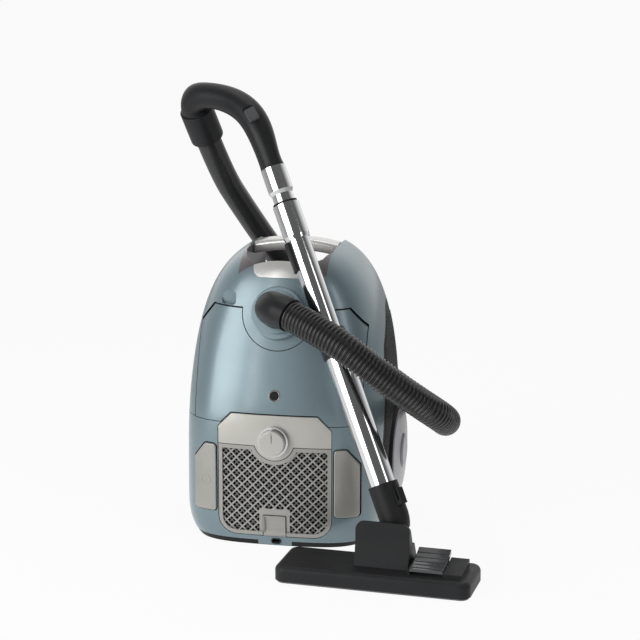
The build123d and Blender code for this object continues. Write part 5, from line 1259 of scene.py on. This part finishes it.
@dataclass
class Wand:
    """The telescopic wand, its handle and its fittings."""

    foot: Point = (0.167, -0.185, 0.12)
    gasket_along: float = 0.4105
    gasket_radius: float = 0.0164
    gasket_half_width: float = 0.0011
    gasket_rise: float = 0.0006
    gasket_sink: float = 0.0012
    points: int = 48

    def collar_gasket(self) -> None:
        """Make the black ring at the top of the bright collar."""
        way = Vector(WAND_WAY).normalized()
        across = way.orthogonal().normalized()
        up = way.cross(across)
        middle = Vector(self.foot) + way * self.gasket_along
        outs = []
        for k in range(self.points):
            turn = 2.0 * math.pi * k / self.points
            outs.append(across * math.cos(turn) + up * math.sin(turn))
        maker = MeshMaker("collar_gasket")
        path = [middle + out * self.gasket_radius for out in outs]
        maker.bar(
            path, outs, self.gasket_half_width, self.gasket_rise, self.gasket_sink, closed=True
        )
        gasket = maker.make(RUBBER)
        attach(gasket, "wand")

    def build(self) -> None:
        """Give the wand's solids their finishes and add the gasket."""
        self.collar_gasket()
        dress(DARKENED_CHROME, "upper_tube", "lower_tube", "handle_ferrule")
        dress(BLACK_GRIP, "wand_handle", "hose_handle_cuff", "hose_inlet_cuff", "tube_lock", "tube_clip")
        dress(SLIDER_GREY, "suction_slider", "lock_button")
        dress(BLACK_MOULDING, "neck_socket", "park_hook", "neck_knuckle")


@dataclass
class FloorHead:
    """The floor head with its rocker pedal and brush."""

    yaw: float = math.radians(-4.4)
    centre: tuple[float, float] = (0.166, -0.221)
    ridge_from: float = -0.022
    ridge_step: float = 0.0095
    ridges: int = 5
    ridge_half_width: float = 0.0008
    ridge_rise: float = 0.0009
    ridge_sink: float = 0.0004
    ridge_points: int = 9
    above: float = 0.2
    pedal_low: float = 0.0505
    pedal_high: float = 0.0935
    tuft_rows: int = 3
    tuft_columns: int = 60
    tuft_spread: float = 0.7
    tuft_stagger: float = 0.25
    tuft_reach: float = 0.98
    tuft_half: tuple[float, float] = (0.0011, 0.0009)
    tuft_lean: float = 0.0006
    lean_turn: float = 2.7
    tuft_root: float = 0.0005
    backing: float = 0.003
    strip_half: float = 0.110
    strip_depth: float = 0.008
    strip_b: float = -0.030
    strip_low: float = 0.005
    strip_high: float = 0.014

    def spot(self, a: float, b: float, z: float) -> Vector:
        """A place given along the head, across it and in height."""
        c, s = math.cos(self.yaw), math.sin(self.yaw)
        return Vector((self.centre[0] + a * c - b * s, self.centre[1] + a * s + b * c, z))

    def pedal_ridges(self) -> None:
        """Make the ridges across the rocker pedal."""
        maker = MeshMaker("pedal_ridges")
        for k in range(self.ridges):
            b = self.ridge_from + self.ridge_step * k
            hits = []
            for share in np.linspace(0.0, 1.0, self.ridge_points):
                a = self.pedal_low + (self.pedal_high - self.pedal_low) * float(share)
                hit = probe("brush_pedal", self.spot(a, b, self.above), (0.0, 0.0, -1.0))
                if hit is not None and hit[1].z > FACING:
                    hits.append(hit)
            if len(hits) > 2:
                points, outs = zip(*hits)
                maker.bar(points, outs, self.ridge_half_width, self.ridge_rise, self.ridge_sink)
        ridges = maker.make(PEDAL_GLOSS)
        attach(ridges, "brush_key")

    def tuft(self, maker: MeshMaker, a: float, b: float, lean: float) -> None:
        """Add one tuft of bristles, which is narrow at its tip.

        Args:
            maker: the piece.
            a: the tuft's place along the head.
            b: its place across the head.
            lean: how far its tip leans along the head.
        """
        back = self.strip_high - self.backing
        wide, deep = self.tuft_half
        sections = (
            (self.strip_low, 0.6, 1.0),
            ((self.strip_low + back) / 2.0, 1.0, 0.4),
            (back + self.tuft_root, 0.8, 0.0),
        )
        rings = [
            maker.ring(
                self.spot(a + lean * bend + wide * share * x, b + deep * share * y, z)
                for x, y in SQUARE
            )
            for z, share, bend in sections
        ]
        maker.skin(rings)

    def bristles(self) -> None:
        """Make the rows of bristle tufts on their backing."""
        maker = MeshMaker("bristle_rows")
        half = self.strip_depth / 2.0
        backing = [
            maker.ring(self.spot(a * self.strip_half, self.strip_b + b * half, z) for a, b in SQUARE)
            for z in (self.strip_high - self.backing, self.strip_high)
        ]
        maker.skin(backing)
        for row in range(self.tuft_rows):
            b = self.strip_b + half * self.tuft_spread * (row - (self.tuft_rows - 1) / 2.0)
            for column in range(self.tuft_columns):
                share = (column + 0.5 + self.tuft_stagger * (row % 2)) / self.tuft_columns
                a = self.strip_half * (2.0 * share - 1.0) * self.tuft_reach
                lean = self.tuft_lean * math.sin(self.lean_turn * column + row)
                self.tuft(maker, a, b, lean)
        rows = maker.make(BRISTLE)
        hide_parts("brush_strip")
        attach(rows, "brush")

    def build(self) -> None:
        """Dress the head and make its pedal's ridges and its brush."""
        dress(HEAD_MOULDING, "floor_head")
        dress(GREY_MOULDING, "floor_sole")
        dress(PEDAL_GLOSS, "brush_pedal")
        self.pedal_ridges()
        self.bristles()


@dataclass
class Inside:
    """What the casing hides: springs, bag, filter, motor, reel and board."""

    wire_radius: float = 0.0007
    spring_turns: float = 7.0
    spring_radius: float = 0.0042
    spring_seat: float = 0.002
    turn_steps: int = 20
    wire_sides: int = 8
    press: float = 0.004
    bag_voxel: float = 0.005
    bag_slack: float = 0.0035
    bag_folds: tuple[tuple[float, Point], ...] = (
        (0.3, (95.0, 0.0, 60.0)),
        (0.2, (0.0, 140.0, -70.0)),
    )
    relax_share: float = 0.6
    relax_rounds: int = 6
    pleats: int = 14
    pleat_dip: float = 0.0022
    pleat_room: float = 0.0024
    pleat_angle: float = 25.0

    def spring(self, node: str) -> None:
        """Make one coiled return spring.

        Args:
            node: the sleeve that it stands for.
        """
        low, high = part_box(node)
        middle_x, middle_z = (low.x + high.x) / 2.0, (low.z + high.z) / 2.0
        start, end = low.y + self.spring_seat, high.y - self.wire_radius
        steps = int(self.spring_turns * self.turn_steps)
        path = []
        for k in range(steps + 1):
            turn = 2.0 * math.pi * self.spring_turns * k / steps
            path.append(
                Vector(
                    (
                        middle_x + self.spring_radius * math.cos(turn),
                        start + (end - start) * k / steps,
                        middle_z + self.spring_radius * math.sin(turn),
                    )
                )
            )
        maker = MeshMaker(node + "_coil")
        maker.tube(path, [self.wire_radius] * len(path), self.wire_sides)
        coil = maker.make(STEEL)
        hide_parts(node)
        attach(coil, "canister")
        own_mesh(coil)

    def bag(self) -> None:
        """Make the dust bag: a soft closed bag with slack, wrinkled walls."""
        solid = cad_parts["dust_bag"]
        piece = bpy.data.objects.new("soft_dust_bag", solid.data.copy())
        bpy.context.scene.collection.objects.link(piece)
        remesh = piece.modifiers.new("even_mesh", "REMESH")
        remesh.mode = "VOXEL"
        remesh.voxel_size = self.bag_voxel
        relax = piece.modifiers.new("relax", "SMOOTH")
        relax.factor = self.relax_share
        relax.iterations = self.relax_rounds
        depsgraph = bpy.context.evaluated_depsgraph_get()
        mesh = bpy.data.meshes.new_from_object(piece.evaluated_get(depsgraph))
        piece.modifiers.clear()
        piece.data = mesh
        normals = [v.normal.copy() for v in mesh.vertices]
        for vertex, normal in zip(mesh.vertices, normals):
            fold = 0.5
            for share, wave in self.bag_folds:
                fold += share * math.sin(Vector(wave).dot(vertex.co))
            vertex.co -= normal * self.bag_slack * fold
        mesh.polygons.foreach_set("use_smooth", [True] * len(mesh.polygons))
        mesh.materials.clear()
        mesh.materials.append(BAG_FLEECE.material())
        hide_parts("dust_bag")
        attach(piece, "canister")
        LOG.info("soft_dust_bag: %d faces", len(mesh.polygons))

    def motor_filter(self) -> None:
        """Make the pleated filter above the motor."""
        low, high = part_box("motor_filter")
        maker = MeshMaker("pleated_motor_filter")
        rings = []
        for k in range(2 * self.pleats + 1):
            x = low.x + (high.x - low.x) * k / (2.0 * self.pleats)
            dip = self.pleat_dip if k % 2 else 0.0
            bottom, top = low.z + dip, high.z - self.pleat_room + dip
            rings.append(
                maker.ring(
                    (
                        Vector((x, low.y, bottom)),
                        Vector((x, high.y, bottom)),
                        Vector((x, high.y, top)),
                        Vector((x, low.y, top)),
                    )
                )
            )
        maker.skin(rings)
        pad = maker.make(WHITE_FLEECE, self.pleat_angle)
        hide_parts("motor_filter")
        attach(pad, "canister")

    def build(self) -> None:
        """Dress the inner solids and make the soft ones."""
        dress(GREY_MOULDING, "bag_holder", "cord_reel")
        dress(MOTOR_ALLOY, "motor_housing", "motor_rotor")
        dress(RUBBER, "motor_mounts")
        dress(STEEL, "reel_axle")
        dress(BOARD_GREEN, "control_board")
        self.spring("rewind_spring")
        self.spring("power_spring")
        self.bag()
        self.motor_filter()


@dataclass(frozen=True)
class Lamp:
    """One soft studio lamp."""

    name: str
    place: Point
    aim: Point
    size: tuple[float, float]
    power: float

    def build(self) -> None:
        """Make the lamp and turn it to what it lights."""
        light = bpy.data.lights.new(self.name, "AREA")
        light.shape = "RECTANGLE"
        light.size, light.size_y = self.size
        light.energy = self.power
        lamp = bpy.data.objects.new(self.name, light)
        lamp.location = self.place
        way = Vector(self.aim) - Vector(self.place)
        lamp.rotation_euler = way.to_track_quat("-Z", "Y").to_euler()
        bpy.context.scene.collection.objects.link(lamp)


@dataclass
class Studio:
    """Floor, world, lamps and camera."""

    floor_half: float = 40.0
    floor_colour: Colour = (0.86, 0.86, 0.86)
    floor_glow: float = 0.93
    paper_near: float = 0.3
    paper_far: float = 1.0
    sky_light: float = 0.33
    room_light: float = 0.12
    room_way: Point = (-0.2, 0.98, 0.0)
    room_from: float = -0.15
    room_to: float = 0.8
    lens: float = 112.5
    sensor: float = 36.0
    view_end: float = 100.0
    camera_place: Point = (0.5933, -2.7081, 0.940)
    camera_turn: Point = (math.radians(77.0), 0.0, math.radians(11.5))
    lamps: tuple[Lamp, ...] = field(
        default_factory=lambda: (
            Lamp("key_lamp", (-1.3, -1.45, 0.7), (0.0, 0.0, 0.25), (1.1, 1.5), 21.0),
            Lamp("strip_lamp", (-0.55, -1.6, 0.9), (0.1, -0.1, 0.3), (0.14, 1.5), 3.5),
            Lamp("fill_lamp", (1.6, -1.0, 1.1), (0.05, 0.0, 0.25), (0.4, 1.2), 4.0),
            Lamp("top_lamp", (0.0, 0.3, 2.2), (0.0, 0.0, 0.3), (1.4, 1.0), 6.0),
        )
    )

    def paper(self, graph: Graph) -> bpy.types.NodeSocket:
        """Mask the white paper near the cleaner; past its end the room's floor is dim.

        Args:
            graph: the floor's tree.

        Returns:
            The socket of the paper's brightness.
        """
        place = graph.add("ShaderNodeNewGeometry").outputs["Position"]
        away = graph.add("ShaderNodeVectorMath", {0: place}, operation="LENGTH").outputs["Value"]
        faded = graph.add(
            "ShaderNodeMapRange",
            {
                "Value": away,
                "From Min": self.paper_near,
                "From Max": self.paper_far,
                "To Min": 1.0,
                "To Max": self.room_light,
            },
        )
        return faded.outputs[0]

    def seen(self, graph: Graph, mirrored: bpy.types.NodeSocket) -> bpy.types.NodeSocket:
        """Work out how much of the white backdrop a ray sees: straight, mirrored or let through.

        Args:
            graph: the material's or the world's tree.
            mirrored: the backdrop's brightness in mirrored light.

        Returns:
            The brightness's socket, 0 for rays that only carry light.
        """
        path = graph.add("ShaderNodeLightPath").outputs
        glossy = graph.math("MULTIPLY", path["Is Glossy Ray"], mirrored)
        direct = graph.math("MAXIMUM", path["Is Camera Ray"], path["Is Transmission Ray"])
        return graph.math("MAXIMUM", direct, glossy)

    def floor(self) -> None:
        """Make the pale floor, which keeps the cleaner's shadow."""
        mesh = bpy.data.meshes.new("studio_floor")
        corners = [(self.floor_half * x, self.floor_half * y, 0.0) for x, y in SQUARE]
        mesh.from_pydata(corners, [], [(0, 1, 2, 3)])
        material = bpy.data.materials.new("studio_floor")
        material.use_nodes = True
        graph = Graph(material.node_tree)
        material.node_tree.nodes.clear()
        matt = graph.add("ShaderNodeBsdfDiffuse", {"Color": self.floor_colour})
        glow = graph.add("ShaderNodeEmission", {"Color": (1.0, 1.0, 1.0), "Strength": 1.0})
        share = graph.math("MULTIPLY", self.seen(graph, self.paper(graph)), self.floor_glow)
        both = graph.add(
            "ShaderNodeMixShader", {0: share, 1: matt.outputs[0], 2: glow.outputs[0]}
        )
        out = graph.add("ShaderNodeOutputMaterial")
        graph.set(out.inputs["Surface"], both.outputs[0])
        mesh.materials.append(material)
        floor = bpy.data.objects.new("studio_floor", mesh)
        bpy.context.scene.collection.objects.link(floor)

    def room(self, graph: Graph) -> bpy.types.NodeSocket:
        """Grade the mirrored room: the white backdrop behind, a dim room in front.

        Args:
            graph: the world's tree.

        Returns:
            The socket of the room's brightness.
        """
        way = graph.add("ShaderNodeTexCoord").outputs["Generated"]
        depth = graph.add(
            "ShaderNodeVectorMath", {0: way, 1: self.room_way}, operation="DOT_PRODUCT"
        )
        graded = graph.add(
            "ShaderNodeMapRange",
            {
                "Value": depth.outputs["Value"],
                "From Min": self.room_from,
                "From Max": self.room_to,
                "To Min": self.room_light,
                "To Max": 1.0,
            },
        )
        return graded.outputs[0]

    def world(self) -> None:
        """Make the surroundings: a white backdrop and the even light of a room."""
        world = bpy.data.worlds.new("studio_world")
        world.use_nodes = True
        graph = Graph(world.node_tree)
        world.node_tree.nodes.clear()
        path = graph.add("ShaderNodeLightPath").outputs
        spread = graph.math("MULTIPLY", path["Is Diffuse Ray"], self.sky_light)
        level = graph.math("MAXIMUM", self.seen(graph, self.room(graph)), spread)
        sky = graph.add("ShaderNodeBackground", {"Color": (1.0, 1.0, 1.0), "Strength": level})
        out = graph.add("ShaderNodeOutputWorld")
        graph.set(out.inputs["Surface"], sky.outputs[0])
        bpy.context.scene.world = world

    def camera(self) -> None:
        """Make the camera at the photograph's viewing angle."""
        data = bpy.data.cameras.new("studio_camera")
        data.lens = self.lens
        data.sensor_width = self.sensor
        data.clip_end = self.view_end
        camera = bpy.data.objects.new("studio_camera", data)
        camera.location = self.camera_place
        camera.rotation_euler = self.camera_turn
        bpy.context.scene.collection.objects.link(camera)
        bpy.context.scene.camera = camera

    def build(self) -> None:
        """Set up the whole studio."""
        self.floor()
        self.world()
        for lamp in self.lamps:
            lamp.build()
        self.camera()
        bpy.context.scene.view_settings.view_transform = "Standard"


def main() -> None:
    """Build the cleaner's looks in order."""
    logging.basicConfig(level=logging.INFO, format="%(name)s %(message)s")
    bpy.context.view_layer.update()
    Studio().build()
    assemblies = (
        Hose(), Casing(), ExhaustGrille(), PedalSign(), RunningGear(), Wand(), FloorHead(), Inside(),
    )
    for assembly in assemblies:
        assembly.build()


if __name__ == "__main__":
    main()
